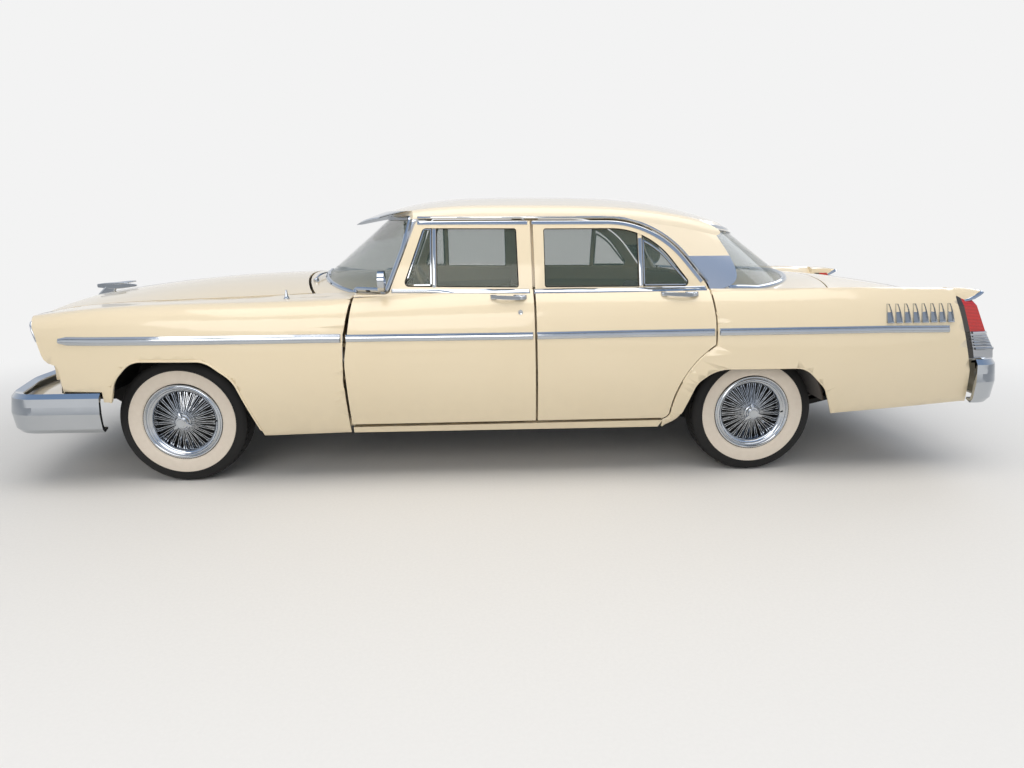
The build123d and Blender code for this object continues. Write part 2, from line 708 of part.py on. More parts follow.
def make_cowl(forms):
    """Firewall, the cowl between hood and windscreen, and the hinge posts of the front doors."""
    top = block(*COWL_TOP) - upright(hood_plan(HOOD_REAR_GAP), 0, ABOVE_BODY)
    top = (top & forms["body", 0]) - forms["body", FENDER_WALL]
    fire = block(*FIREWALL) & forms["body", FENDER_WALL - 2]
    posts = block(*FRONT_POST) + door_pins(FRONT_DOOR_PIN, FRONT_HINGE_LEVELS, FRONT_POST_FACE_Y)
    x, z = HOOD_PIN
    pins = hinge_pins(HOOD_PIN, x + HOOD_EAR[0], x + HOOD_EAR[1], z + HOOD_EAR[2], z + HOOD_EAR[3])
    return top + fire + block(*DASH_SHELF) + posts + other_side(posts) + pins


ROCKER = ((-655, 289), (-655, 323), (1060, 337), (1040, 294))
ROCKER_INNER = (-700, 1100, -815, -760, 300, 345)
B_POST_LOW = ((290, 330), (285, 1050), (395, 1050), (425, 330))
B_POST_HIGH = ((296, 1076), (296, 1470), (372, 1470), (372, 1076))
B_POST_STEP = (296, 372, -795, -742, 900, 1105)
B_POST_SHELF = (296, 372, -860, -742, 1076, 1105)
B_POST_INNER_Y = -742
REAR_POST_FACE_Y = -880
POST_WALL = DOOR_WALL + 8
ROCKER_DEPTH = 130
POST_DEPTH = 150
ROOF_POST_DEPTH = 66


def make_sills(forms):
    """Rockers under the doors and the posts between them, both sides."""
    rocker = (slab(side_face(ROCKER), OUTSIDE, -700) & forms["body", 0]) - forms["body", ROCKER_DEPTH]
    low = slab(side_face(B_POST_LOW), OUTSIDE, B_POST_INNER_Y) & forms["body", POST_WALL]
    low = low - forms["body", POST_DEPTH]
    high = slab(side_face(B_POST_HIGH), OUTSIDE, FRAME_INNER_Y) & forms["roof", ROOF_WALL + 1]
    high = high - forms["roof", ROOF_POST_DEPTH]
    step = block(*B_POST_STEP) + (block(*B_POST_SHELF) & forms["roof", ROOF_WALL + 1])
    pins = door_pins(REAR_DOOR_PIN, REAR_HINGE_LEVELS, REAR_POST_FACE_Y)
    return both_sides(rocker + block(*ROCKER_INNER) + low + high + step + pins)


# Chassis
RAIL_Y = 420
RAIL_WIDTH = 60
RAIL_TOP = (
    (-2400, 470), (-2150, 470), (-1950, 338), (1136, 338), (1330, 508), (1960, 508), (2150, 424), (2780, 424),
)
RAIL_DEPTH = 85
ARM_Z = (235, 465)


CROSS_MEMBERS = (
    (-2390, -2320, 400, 460),
    (-2185, -2105, 390, 420),
    (-1660, -1540, 300, 380),
    (-410, -340, 288.5, 311),
    (960, 1020, 290, 312),
    (2700, 2770, 350, 410),
)
ARM_SPREADS = (120, 80)
ARM_TIP_HALF = 26
ARM_HALF_DEPTH = 12
TOWER_SIZE = (150, RAIL_WIDTH, 262)
TOWER_Z = 354


def make_chassis():
    """Ladder frame: two rails with their kick-up and front suspension arms, and the members between them."""
    lower = [(x, z - RAIL_DEPTH) for x, z in reversed(RAIL_TOP)]
    half = RAIL_WIDTH / 2
    side = slab(side_face(RAIL_TOP + tuple(lower)), -RAIL_Y - half, -RAIL_Y + half)
    side = side + Pos(FRONT_AXLE_X, -RAIL_Y, TOWER_Z) * Box(*TOWER_SIZE)
    pin_y = FRONT_TRACK / 2 - KINGPIN_OFFSET
    for level, spread in zip(ARM_Z, ARM_SPREADS):
        points = [
            (FRONT_AXLE_X - spread, -RAIL_Y),
            (FRONT_AXLE_X - ARM_TIP_HALF, -pin_y),
            (FRONT_AXLE_X + ARM_TIP_HALF, -pin_y),
            (FRONT_AXLE_X + spread, -RAIL_Y),
        ]
        arm = make_face(Polyline(*points, close=True))
        side = side + upright(arm, level - ARM_HALF_DEPTH, level + ARM_HALF_DEPTH)
    inner = RAIL_Y - half
    members = [block(x0, x1, -inner, inner, z0, z1) for x0, x1, z0, z1 in CROSS_MEMBERS]
    return Compound(children=[*side.solids(), *other_side(side).solids(), *members])


FLOOR = 8
FLOOR_PATH = (
    (-866, 560), (-690, 346), (1130, 346), (1180, 516), (2120, 516), (2170, 432), (2770, 432),
)
FLOOR_HALF = 758
HOUSE_RADIUS = 398
HOUSE_INNER_Y = -618
HOUSE_OUTER_Y = -882
HOUSE_ROOM = (900, 2300, -900, -600, 424, 900)
TUNNEL_RADIUS = 108
TUNNEL_Z = 352
TUNNEL_RUN = (-800, 1170)
TUNNEL_ROOM = (*TUNNEL_RUN, -200, 200, 340, 600)
APRON_RADIUS = 440
APRON_INNER_Y = -476
APRON_OUTER_Y = -905
APRON_ROOM = (-2200, -1000, -960, -400, 500, 900)
APRON_SHEET = (-2240, -880, APRON_INNER_Y - FLOOR, APRON_INNER_Y, 420, 900)
APRON_HOLE_RADIUS = 180


def tunnel_rod(beyond, radius):
    """Round bar along the tunnel, longer than it by beyond at both ends."""
    start = along(TUNNEL_RUN[0] - beyond)
    end = along(TUNNEL_RUN[1] + beyond)
    return rod((start, 0, TUNNEL_Z), (end, 0, TUNNEL_Z), radius)


def make_floor():
    """Floor from toe board to boot, with its tunnel, the step over the axle and the rear wheel housings."""
    lower = [(x, z - FLOOR) for x, z in reversed(FLOOR_PATH)]
    sheet = slab(side_face(FLOOR_PATH + tuple(lower)), -FLOOR_HALF, FLOOR_HALF)
    ridge = tunnel_rod(0, TUNNEL_RADIUS) & block(*TUNNEL_ROOM)
    floor = (sheet + ridge) - tunnel_rod(100, TUNNEL_RADIUS - FLOOR)
    housing = cross_bar(REAR_AXLE_X, HUB_HEIGHT, HOUSE_RADIUS + FLOOR, HOUSE_OUTER_Y, HOUSE_INNER_Y)
    inside = cross_bar(REAR_AXLE_X, HUB_HEIGHT, HOUSE_RADIUS, HOUSE_OUTER_Y - FLOOR, HOUSE_INNER_Y - FLOOR)
    well = cross_bar(REAR_AXLE_X, HUB_HEIGHT, HOUSE_RADIUS, HOUSE_OUTER_Y - FLOOR, HOUSE_INNER_Y + 1)
    shell = (housing - inside) & block(*HOUSE_ROOM)
    floor = floor - well - other_side(well)
    return floor + shell + other_side(shell)


def make_front_wheel_houses():
    """Inner aprons of the engine bay, curved over the front wheels."""
    arch = cross_bar(FRONT_AXLE_X, HUB_HEIGHT, APRON_RADIUS + FLOOR, APRON_OUTER_Y, APRON_INNER_Y)
    arch = arch - cross_bar(FRONT_AXLE_X, HUB_HEIGHT, APRON_RADIUS, APRON_OUTER_Y - FLOOR, APRON_INNER_Y)
    hole_ends = (APRON_INNER_Y - 2 * FLOOR, APRON_INNER_Y + FLOOR)
    hole = cross_bar(FRONT_AXLE_X, HUB_HEIGHT, APRON_HOLE_RADIUS, *hole_ends)
    return both_sides((arch & block(*APRON_ROOM)) + (block(*APRON_SHEET) - hole))


# Bumpers: plan route of the bar's middle, and the bar's own section as (outward, up) points
BUMPER_SECTION = (
    (-32, 96), (4, 108), (24, 84), (30, 40), (35, 0), (30, -40), (24, -84), (4, -108), (-32, -96),
    (-30, -86), (-2, -92), (10, -60), (14, 0), (10, 60), (-2, 92), (-30, 86),
)
BUMPER_HALF_WIDTH = 950
BUMPER_FACE_HALF = 520
BUMPER_CROWN_RADIUS = 420


def make_bumper(start_x, corner_x, face_x, height, corner_radius, ahead, stretch):
    """Bar that runs across the car and wraps round both corners."""
    route = [(start_x, -BUMPER_HALF_WIDTH), (corner_x, -BUMPER_HALF_WIDTH), (face_x, -BUMPER_FACE_HALF)]
    route = route + [(x, -y) for x, y in reversed(route)]
    radii = (corner_radius, BUMPER_CROWN_RADIUS, BUMPER_CROWN_RADIUS, corner_radius)
    path = FilletPolyline(*[(x, y, height) for x, y in route], radius=radii)
    heading = (-1, 0, 0) if ahead else (1, 0, 0)
    start = Plane(origin=(start_x, -BUMPER_HALF_WIDTH, height), x_dir=(0, -1, 0), z_dir=heading)
    side = 1 if ahead else -1
    points = [(n, side * up * stretch) for n, up in BUMPER_SECTION]
    return sweep(start * make_face(Polyline(*points, close=True)), path=path)


FRONT_BUMPER_Z = 433
REAR_BUMPER_Z = 540
BUMPER_REACH = 35
FRONT_CORNER = (-1975, -2440, 150)
REAR_CORNER = (2812, 2940, 105)
REAR_BUMPER_STRETCH = 1.15
IRON_Y = (-RAIL_Y - 20, -RAIL_Y + 20)
FRONT_IRON = (-2572, -2400, *IRON_Y, 405, 455)
REAR_IRON = (2780, 3000, *IRON_Y, 362, 410)
REAR_RISER = (2940, 3000, *IRON_Y, 362, 520)


def make_front_bumper():
    """Front bumper with its two irons."""
    start, corner, radius = FRONT_CORNER
    face = -OVERALL_LENGTH / 2 + BUMPER_REACH
    bar = make_bumper(along(start), along(corner), face, FRONT_BUMPER_Z, radius, True, 1)
    iron = block(*FRONT_IRON)
    return bar + iron + other_side(iron)


def make_rear_bumper():
    """Rear bumper, deeper than the front one, on irons that rise to it."""
    start, corner, radius = REAR_CORNER
    face = OVERALL_LENGTH / 2 - BUMPER_REACH
    bar = make_bumper(along(start), along(corner), face, REAR_BUMPER_Z, radius, False, REAR_BUMPER_STRETCH)
    iron = block(*REAR_IRON) + block(*REAR_RISER)
    return bar + iron + other_side(iron)


GRILLE_X = -2398
GRILLE_Z = 720
GRILLE_DEPTH = 50
GRILLE_RING = (1199, 300, 60)
GRILLE_HOLE = (1150, 250, 40)
GRILLE_BAR = (30, 1160, 14)
GRILLE_LEVELS = (640, 690, 740, 790)
GRILLE_SLAT = (12, 8, 252)
GRILLE_SLATS = 11
GRILLE_SLAT_PITCH = 92
GRILLE_SLAT_SETBACK = 36


def make_grille():
    """Frame between the headlamps with its bars and slats."""
    x0 = along(GRILLE_X)
    face = Plane(origin=(x0, 0, GRILLE_Z), x_dir=(0, 1, 0), z_dir=(1, 0, 0))
    piece = extrude(face * RectangleRounded(*GRILLE_RING), amount=GRILLE_DEPTH)
    piece = piece - extrude(face * RectangleRounded(*GRILLE_HOLE), amount=2 * GRILLE_DEPTH)
    for z in GRILLE_LEVELS:
        piece = piece + Pos(x0 + GRILLE_DEPTH / 2, 0, z) * Box(*GRILLE_BAR)
    for k in range(GRILLE_SLATS):
        y = (k - (GRILLE_SLATS - 1) / 2) * GRILLE_SLAT_PITCH
        piece = piece + Pos(x0 + GRILLE_SLAT_SETBACK, y, GRILLE_Z) * Box(*GRILLE_SLAT)
    return piece


LAMP_OUTLINE = ((0, -62), (60, -50), (86, -22), (94, -14), (94, 10), (80, 30), (40, 90), (0, 105))
LAMP_SETBACK = 10


def make_headlamps():
    """Round lamps in their bowls."""
    bowl = revolve(make_face(Polyline(*LAMP_OUTLINE, close=True)), axis=Axis.Y)
    lamp = Pos(along(NOSE_CORNER_X) + LAMP_SETBACK, -HEADLAMP_Y, HEADLAMP_Z) * Rot(0, 0, -90) * bowl
    return both_sides(lamp)


# Tail lamp pods: height, rear edge, outer half width
POD_LEVELS = ((1012, 2772, 893), (960, 2812, 921), (818, 2866, 944), (724, 2921, 948), (668, 2930, 946))
POD_INNER_Y = 776
POD_CORNER = 24
POD_OUTLINE = (
    (2679, 985), (2690, 940), (2725, 823), (2788, 601), (2809, 380), (3050, 380), (3050, 1100), (2679, 1100),
)


def make_tail_lamps():
    """Upright lamp housings that close the ends of the fins."""
    levels = []
    front = along(POD_OUTLINE[0][0])
    inner = -POD_INNER_Y - SEAT_CLEARANCE
    for z, rear, outer in POD_LEVELS:
        corners = [(front, -outer), (along(rear), -outer + POD_CORNER), (along(rear), inner), (front, inner)]
        levels.append(Pos(0, 0, z) * make_face(Polyline(*corners, close=True)))
    seat = side_face([(x + SEAT_CLEARANCE, z) for x, z in POD_OUTLINE])
    return both_sides(loft(levels, ruled=True) & slab(seat, OUTSIDE, inner))


# Wheels, drawn about their own centre with the outer side at -Y
RIM_OUTLINE = (
    (209, -88), (209, -82), (193, -80), (193, -45), (172, -32), (172, 32), (193, 45), (193, 80),
    (209, 82), (209, 88), (203, 88), (187, 83), (187, 48), (166, 35), (166, -35), (187, -48),
    (187, -83), (203, -88),
)
SPINDLE_RADIUS = 18
DRUM_RADIUS = 152
SPOKES = 20
SPOKE_SIZE = 6
SPOKE_LEAD = 24
INNER_TURN = 9
OUTER_SPOKE = (46, -74, 190, -62)
INNER_SPOKE = (36, -16, 169, 6)
SPINDLE_PLAY = 0.3
BORE_RADIUS = SPINDLE_RADIUS + SPINDLE_PLAY
HUB_OUTLINE = (
    (BORE_RADIUS, 68), (52, 68), (52, 20), (40, 8), (38, -60), (52, -66), (52, -84), (30, -92),
    (24, -112), (0, -114), (0, -50), (BORE_RADIUS, -50),
)
DRUM_OUTLINE = ((40, 20), (DRUM_RADIUS, 20), (DRUM_RADIUS, 68), (142, 68), (142, 28), (40, 28))


def turned(points):
    """Solid turned about the wheel's axis from (radius, y) points."""
    return revolve(make_face(Polyline(*points, close=True)), axis=Axis.Y)


def spoke(hub_r, hub_y, rim_r, rim_y, angle, lead):
    """Straight spoke from the hub to the rim."""
    a0 = math.radians(angle)
    a1 = math.radians(angle + lead)
    start = Vector(hub_r * math.cos(a0), hub_y, hub_r * math.sin(a0))
    end = Vector(rim_r * math.cos(a1), rim_y, rim_r * math.sin(a1))
    section = Plane(origin=start, z_dir=end - start) * Rectangle(SPOKE_SIZE, SPOKE_SIZE)
    return extrude(section, amount=(end - start).length)


def make_wheel():
    """Wire wheel: rim, hub with its winged nut, brake drum and two rows of spokes."""
    wheel = turned(RIM_OUTLINE) + turned(HUB_OUTLINE) + turned(DRUM_OUTLINE)
    spokes = []
    for k in range(SPOKES):
        angle = 360 / SPOKES * k
        lead = SPOKE_LEAD if k % 2 else -SPOKE_LEAD
        spokes.append(spoke(*OUTER_SPOKE, angle, lead))
        spokes.append(spoke(*INNER_SPOKE, angle + INNER_TURN, lead))
    return wheel.fuse(*spokes)


# Wall of the tyre: how far each point lies below the tread, and its place across
TYRE_WALL = ((138, 79), (138, 86), (78, 103), (18, 88), (6, 80), (0, 62))


def make_tyre():
    """Tyre with a flat tread and rounded walls."""
    bead = RIM_RADIUS + SEAT_CLEARANCE
    wall = [(TYRE_RADIUS - drop, y) for drop, y in TYRE_WALL]
    seat = (bead, wall[0][1])
    edges = [
        Line(seat, wall[0]),
        Line(wall[0], wall[1]),
        ThreePointArc(wall[1], (wall[2][0], TYRE_WIDTH / 2), wall[3]),
        ThreePointArc(wall[3], wall[4], wall[5]),
        Line(wall[5], (TYRE_RADIUS, 0)),
        Line((TYRE_RADIUS, 0), (bead, 0)),
        Line((bead, 0), seat),
    ]
    half = revolve(make_face(edges), axis=Axis.Y)
    return half + other_side(half)


KINGPIN_RADIUS = 19
BOSS_OUT = 9
BOSS_SIZE = (64, 24, 90)
PLATE_RADIUS = DRUM_RADIUS + 2
PLATE_IN = (73, 77)
STUB_OUT = 44
STUB_IN = 80


def make_knuckle():
    """Left knuckle: upright between the arms, spindle and brake back plate."""
    x = FRONT_AXLE_X
    axle_y = -FRONT_TRACK / 2
    pin_y = axle_y + KINGPIN_OFFSET
    plate = cross_bar(x, HUB_HEIGHT, PLATE_RADIUS, axle_y + PLATE_IN[0], axle_y + PLATE_IN[1])
    spindle = cross_bar(x, HUB_HEIGHT, SPINDLE_RADIUS, axle_y - STUB_OUT, axle_y + STUB_IN)
    low = ARM_Z[0] + ARM_HALF_DEPTH + SEAT_CLEARANCE
    high = ARM_Z[1] - ARM_HALF_DEPTH - SEAT_CLEARANCE
    kingpin = Pos(x, pin_y, (low + high) / 2) * Cylinder(KINGPIN_RADIUS, high - low)
    boss = Pos(x, pin_y - BOSS_OUT, HUB_HEIGHT) * Box(*BOSS_SIZE)
    return plate + spindle + kingpin + boss


AXLE_TUBE_RADIUS = 38
AXLE_TUBE_IN = 75
FINAL_DRIVE_RADIUS = 140
FINAL_DRIVE_BOX = (300, 190, 300)
PINION = (100, 220, 52)
SHAFT = (215, -330, 352, 36)
SPRING_EYES = (900, 2250)
SPRING_TOP = (326, 296, 396)
SPRING_UNDER = (302, 258, 372)
SPRING_Y = (-592, -528)
SPRING_CLAMP = (130, 70, 60)
CLAMP_Z = 318
FRONT_EYE = (890, 915, 290, 337)
REAR_EYE = (2240, 2262, 350, 415)


def spring_eye(place):
    """Bracket that ties an end of the spring to the side of the rail."""
    x0, x1, z0, z1 = place
    return block(x0, x1, SPRING_Y[0], -RAIL_Y - RAIL_WIDTH / 2, z0, z1)


def make_rear_axle():
    """Axle tube with its final drive, springs and the shaft from the gearbox."""
    x = REAR_AXLE_X
    end = REAR_TRACK / 2
    tube = cross_bar(x, HUB_HEIGHT, AXLE_TUBE_RADIUS, -end + AXLE_TUBE_IN, end - AXLE_TUBE_IN)
    stub = cross_bar(x, HUB_HEIGHT, SPINDLE_RADIUS, -end - STUB_OUT, end + STUB_OUT)
    plate = cross_bar(x, HUB_HEIGHT, PLATE_RADIUS, -end + PLATE_IN[0], -end + PLATE_IN[1])
    centre = Pos(x, 0, HUB_HEIGHT)
    bowl = centre * Sphere(FINAL_DRIVE_RADIUS) & centre * Box(*FINAL_DRIVE_BOX)
    near, far, radius = PINION
    nose = rod((x - near, 0, HUB_HEIGHT), (x - far, 0, HUB_HEIGHT), radius)
    back, front, height, radius = SHAFT
    shaft = rod((x - back, 0, HUB_HEIGHT), (along(front), 0, height), radius)
    first, last = [along(place) for place in SPRING_EYES]
    upper = ThreePointArc((first, SPRING_TOP[0]), (x, SPRING_TOP[1]), (last, SPRING_TOP[2]))
    lower = ThreePointArc((last, SPRING_UNDER[2]), (x, SPRING_UNDER[1]), (first, SPRING_UNDER[0]))
    front_end = Line((first, SPRING_UNDER[0]), (first, SPRING_TOP[0]))
    rear_end = Line((last, SPRING_TOP[2]), (last, SPRING_UNDER[2]))
    leaf = slab(Plane.XZ * make_face([upper, rear_end, lower, front_end]), *SPRING_Y)
    clamp = Pos(x, sum(SPRING_Y) / 2, CLAMP_Z) * Box(*SPRING_CLAMP)
    side = leaf + clamp + plate + spring_eye(FRONT_EYE) + spring_eye(REAR_EYE)
    return tube + stub + bowl + nose + shaft + side + other_side(side)


# Cabin
SEAT_HALF = 640
SEAT_TUNNEL_RUN = (-900, 1300)
FRONT_SEAT = ((-190, 347), (-200, 600), (190, 590), (270, 960), (370, 960), (330, 347))
FRONT_SEAT_RADII = (30, 50, 40, 40, 40, 30)
REAR_SEAT = ((660, 347), (650, 610), (1020, 590), (1130, 1000), (1260, 1000), (1118, 530), (1110, 347))
REAR_SEAT_RADII = (30, 50, 40, 40, 40, 60, 30)


def make_bench(outline, radii):
    """Bench seat as one soft form across the cabin, hollowed over the tunnel."""
    first, last = [(along(x), 0, TUNNEL_Z) for x in SEAT_TUNNEL_RUN]
    return slab(side_face(outline, radii), -SEAT_HALF, SEAT_HALF) - rod(first, last, TUNNEL_RADIUS + 1)


DASH_OUTLINE = ((-640, 800), (-640, 985), (-470, 985), (-430, 940), (-440, 860), (-500, 800))
DASH_RADII = (10, 10, 30, 30, 40, 20)
DASH_HALF = 765
COLUMN_Y = -370
COLUMN_RADIUS = 22
COLUMN_START = (-848, 668)
COLUMN_END = (-262, 960)
WHEEL_RING = 208
RING_THICK = 11
RING_OUT = 28
HORN_RADIUS = 46
HORN_DEPTH = 34
ARM_SECTION = (30, 10)


def column_axis():
    """Lower and upper end of the steering column."""
    start = Vector(along(COLUMN_START[0]), COLUMN_Y, COLUMN_START[1])
    end = Vector(along(COLUMN_END[0]), COLUMN_Y, COLUMN_END[1])
    return start, end


def make_dashboard():
    """Instrument panel across the cabin, passed by the column."""
    panel = slab(side_face(DASH_OUTLINE, DASH_RADII), -DASH_HALF, DASH_HALF)
    return panel - rod(*column_axis(), COLUMN_RADIUS + SEAT_CLEARANCE)


def make_steering_column():
    """Round column from the firewall to the steering wheel."""
    return rod(*column_axis(), COLUMN_RADIUS)


def make_steering_wheel():
    """Ring, two-part spoke and horn boss, square to the column."""
    start, end = column_axis()
    way = (end - start).normalized()
    plane = Plane(origin=end + way, x_dir=(0, 1, 0), z_dir=way)
    boss = extrude(plane * Circle(HORN_RADIUS), amount=HORN_DEPTH)
    ring_plane = plane.offset(RING_OUT)
    return boss + ring_plane * Torus(WHEEL_RING, RING_THICK) + ring_plane * Box(2 * WHEEL_RING, *ARM_SECTION)


# Under the hood and below the floor
MOTOR = (-1830, -1150, -250, 250, 380, 800)
GEARBOX = (-1152, -380, -68, 68, 311, 418)
RADIATOR = (-2180, -2110, -330, 330, 420, 860)
TANK = (2180, 2620, -265, 265, 300, 424)
SILENCER = (150, 900, 62)
EXHAUST_PIPE = (-1000, 152, 26)
EXHAUST_Y = -250
EXHAUST_Z = 262
TAIL_ROUTE = (
    (898, -250, 262), (1150, -250, 262), (1350, -250, 440), (1850, -250, 440), (2050, -300, 300),
    (2860, -300, 300),
)
TAIL_BEND = 90
TAIL_RADIUS = 24


def make_engine():
    """The engine and gearbox as one plain mass."""
    return block(*MOTOR) + block(*GEARBOX)


def exhaust_run(first, last, radius):
    """Straight length of the exhaust."""
    return rod((along(first), EXHAUST_Y, EXHAUST_Z), (along(last), EXHAUST_Y, EXHAUST_Z), radius)


def make_exhaust():
    """Two silencers with their pipes."""
    path = FilletPolyline(*[(along(x), y, z) for x, y, z in TAIL_ROUTE], radius=TAIL_BEND)
    tail = sweep(Plane(origin=path @ 0, z_dir=path % 0) * Circle(TAIL_RADIUS), path=path)
    return both_sides(exhaust_run(*SILENCER) + exhaust_run(*EXHAUST_PIPE) + tail)


MIRROR_FOOT = (-470, -864, 1054)
MIRROR_NECK = (-470, -912, 1105)
MIRROR_PAD = (4, 16)
NECK_RADIUS = 9
MIRROR_HEAD = (-486, -452, -925, 1122, 52)


def make_mirror():
    """Round mirror on a splayed foot, on the left front door."""
    x, y, z = MIRROR_FOOT
    half, radius = MIRROR_PAD
    pad = rod((along(x), y, z - half), (along(x), y, z + half), radius)
    neck = rod((along(x), y, z), (along(MIRROR_NECK[0]), *MIRROR_NECK[1:]), NECK_RADIUS)
    front, rear, y, z, radius = MIRROR_HEAD
    return neck + rod((along(front), y, z), (along(rear), y, z), radius) + pad


def save(shape, name):
    export_step(shape, os.path.join("parts", name + ".step"))


def placed_wheel(shape, x, track, side):
    """A wheel or tyre at its hub, with its outer side outward."""
    left = Pos(x, -track / 2, HUB_HEIGHT) * shape
    return left if side == "left" else other_side(left)


def make_all():
    """Every sub-part by its node's name."""
    body_walls = (
        -SEAT_CLEARANCE, -BODY_CLEARANCE, 0, DOOR_SKIN - 2, DOOR_SKIN, FENDER_WALL - 2, FENDER_WALL,
        DOOR_WALL, POST_WALL, ROCKER_DEPTH, POST_DEPTH,
    )
    roof_walls = (
        -VISOR_THICK, -SEAT_CLEARANCE, 0, BAR_INSET, GLASS_INSET, GLASS_INSET + GLASS,
        FRAME_WALL - BAR_INSET, FRAME_WALL, ROOF_WALL, ROOF_WALL + SEAT_CLEARANCE, ROOF_WALL + 1,
        ROOF_POST_DEPTH,
    )
    lid_walls = (0, LID_SKIN - 2, LID_SKIN, HOOD_WALL, FENDER_WALL)
    forms = {("body", wall): body_form(wall) for wall in body_walls}
    forms.update({("roof", wall): roof_form(wall) for wall in roof_walls})
    forms.update({("ended", wall): ended_form(wall) for wall in lid_walls})
    nodes = {
        "chassis_frame": make_chassis(),
        "floor_pan": make_floor(),
        "front_wheel_houses": make_front_wheel_houses(),
        "cowl": make_cowl(forms),
        "sills_and_posts": make_sills(forms),
        "rear_body": make_rear_body(forms),
        "roof": make_roof(forms),
        "windscreen": make_windscreen(forms),
        "rear_window": make_rear_window(forms),
        "sun_visor": make_sun_visor(forms),
        "hood": make_hood(forms),
        "deck_lid": make_deck_lid(forms),
        "front_bumper": make_front_bumper(),
        "rear_bumper": make_rear_bumper(),
        "grille": make_grille(),
        "headlamps": make_headlamps(),
        "tail_lamps": make_tail_lamps(),
        "radiator": block(*RADIATOR),
        "engine": make_engine(),
        "exhaust": make_exhaust(),
        "fuel_tank": block(*TANK),
        "rear_axle": make_rear_axle(),
        "front_seat": make_bench(FRONT_SEAT, FRONT_SEAT_RADII),
        "rear_seat": make_bench(REAR_SEAT, REAR_SEAT_RADII),
        "dashboard": make_dashboard(),
        "steering_column": make_steering_column(),
        "steering_wheel": make_steering_wheel(),
        "mirror": make_mirror(),
    }
    pairs = {
        "front_fender": make_front_fender(forms),
        "front_door": make_door(forms, True),
        "rear_door": make_door(forms, False),
        "front_door_glass": make_door_glass(forms, True),
        "rear_door_glass": make_door_glass(forms, False),
        "knuckle": make_knuckle(),
    }
    for name, shape in pairs.items():
        nodes[name + "_left"] = shape
        nodes[name + "_right"] = other_side(shape)
    wheel = make_wheel()
    tyre = make_tyre()
    for end, x, track in (("front", FRONT_AXLE_X, FRONT_TRACK), ("rear", REAR_AXLE_X, REAR_TRACK)):
        for side in ("left", "right"):
            nodes[f"wheel_{end}_{side}"] = placed_wheel(wheel, x, track, side)
            nodes[f"tyre_{end}_{side}"] = placed_wheel(tyre, x, track, side)
    return nodes


os.makedirs("parts", exist_ok=True)
for node, solid in make_all().items():
    save(solid, node)
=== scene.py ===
import math

import bpy
from mathutils import Matrix, Vector


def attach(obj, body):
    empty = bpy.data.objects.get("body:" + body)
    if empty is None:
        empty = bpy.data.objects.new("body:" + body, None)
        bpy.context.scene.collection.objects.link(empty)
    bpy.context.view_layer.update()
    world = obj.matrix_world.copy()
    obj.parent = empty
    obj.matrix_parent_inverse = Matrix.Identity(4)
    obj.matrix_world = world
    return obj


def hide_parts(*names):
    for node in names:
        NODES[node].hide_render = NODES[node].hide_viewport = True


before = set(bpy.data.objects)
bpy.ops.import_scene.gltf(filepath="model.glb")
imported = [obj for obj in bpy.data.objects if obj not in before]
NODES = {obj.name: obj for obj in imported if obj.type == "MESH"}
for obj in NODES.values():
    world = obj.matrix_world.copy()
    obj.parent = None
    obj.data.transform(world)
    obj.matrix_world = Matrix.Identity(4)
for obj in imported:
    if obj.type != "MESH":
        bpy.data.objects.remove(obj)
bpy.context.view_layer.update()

# The car stands with its nose towards -X and its driver's side towards -Y. Lengths are metres.
SHIFT = -0.2165
AXLE_FRONT = -1.8165
AXLE_REAR = 1.3835
HUB_Z = 0.350
TRACK_FRONT = 1.529
TRACK_REAR = 1.514
AHEAD = Vector((-1, 0, 0))
BACK = Vector((1, 0, 0))
OUT = Vector((0, -1, 0))
SIDE = Vector((0, 1, 0))
UP = Vector((0, 0, 1))
DOWN = Vector((0, 0, -1))
ACROSS = (math.pi / 2, 0, 0)
SQUARE_ON = 0.9
MERGE = 0.00005
FINE_MERGE = 0.00002


# Small helpers

def linear(code):
    """A colour written as an sRGB hex value, as the linear colour that a shader takes."""
    parts = [int(code[i:i + 2], 16) / 255 for i in (1, 3, 5)]
    return [c / 12.92 if c <= 0.04045 else ((c + 0.055) / 1.055) ** 2.4 for c in parts] + [1.0]


def node(tree, kind, settings=None, links=None):
    """Adds one shader node with its settings and the sockets that feed it."""
    made = tree.nodes.new(kind)
    for key, value in (settings or {}).items():
        if isinstance(key, str) and hasattr(made, key) and key not in made.inputs:
            setattr(made, key, value)
        else:
            made.inputs[key].default_value = value
    for key, source in (links or {}).items():
        tree.links.new(source, made.inputs[key])
    return made


def deselect():
    if bpy.context.object and bpy.context.object.mode != "OBJECT":
        bpy.ops.object.mode_set(mode="OBJECT")
    bpy.ops.object.select_all(action="DESELECT")


def take(name):
    """Names the primitive just added, and puts its place into its mesh."""
    piece = bpy.context.object
    piece.name = name
    piece.data.name = name
    bpy.ops.object.transform_apply(location=True, rotation=True, scale=True)
    return piece


def only(piece):
    deselect()
    piece.select_set(True)
    bpy.context.view_layer.objects.active = piece


def block(name, size, place):
    """A box as the start of a piece."""
    deselect()
    bpy.ops.mesh.primitive_cube_add(size=1, location=place, scale=size)
    return take(name)


def barrel(name, radius, depth, place, turn=(0, 0, 0), sides=32):
    """A cylinder as the start of a piece."""
    deselect()
    bpy.ops.mesh.primitive_cylinder_add(
        vertices=sides, radius=radius, depth=depth, location=place, rotation=turn)
    return take(name)


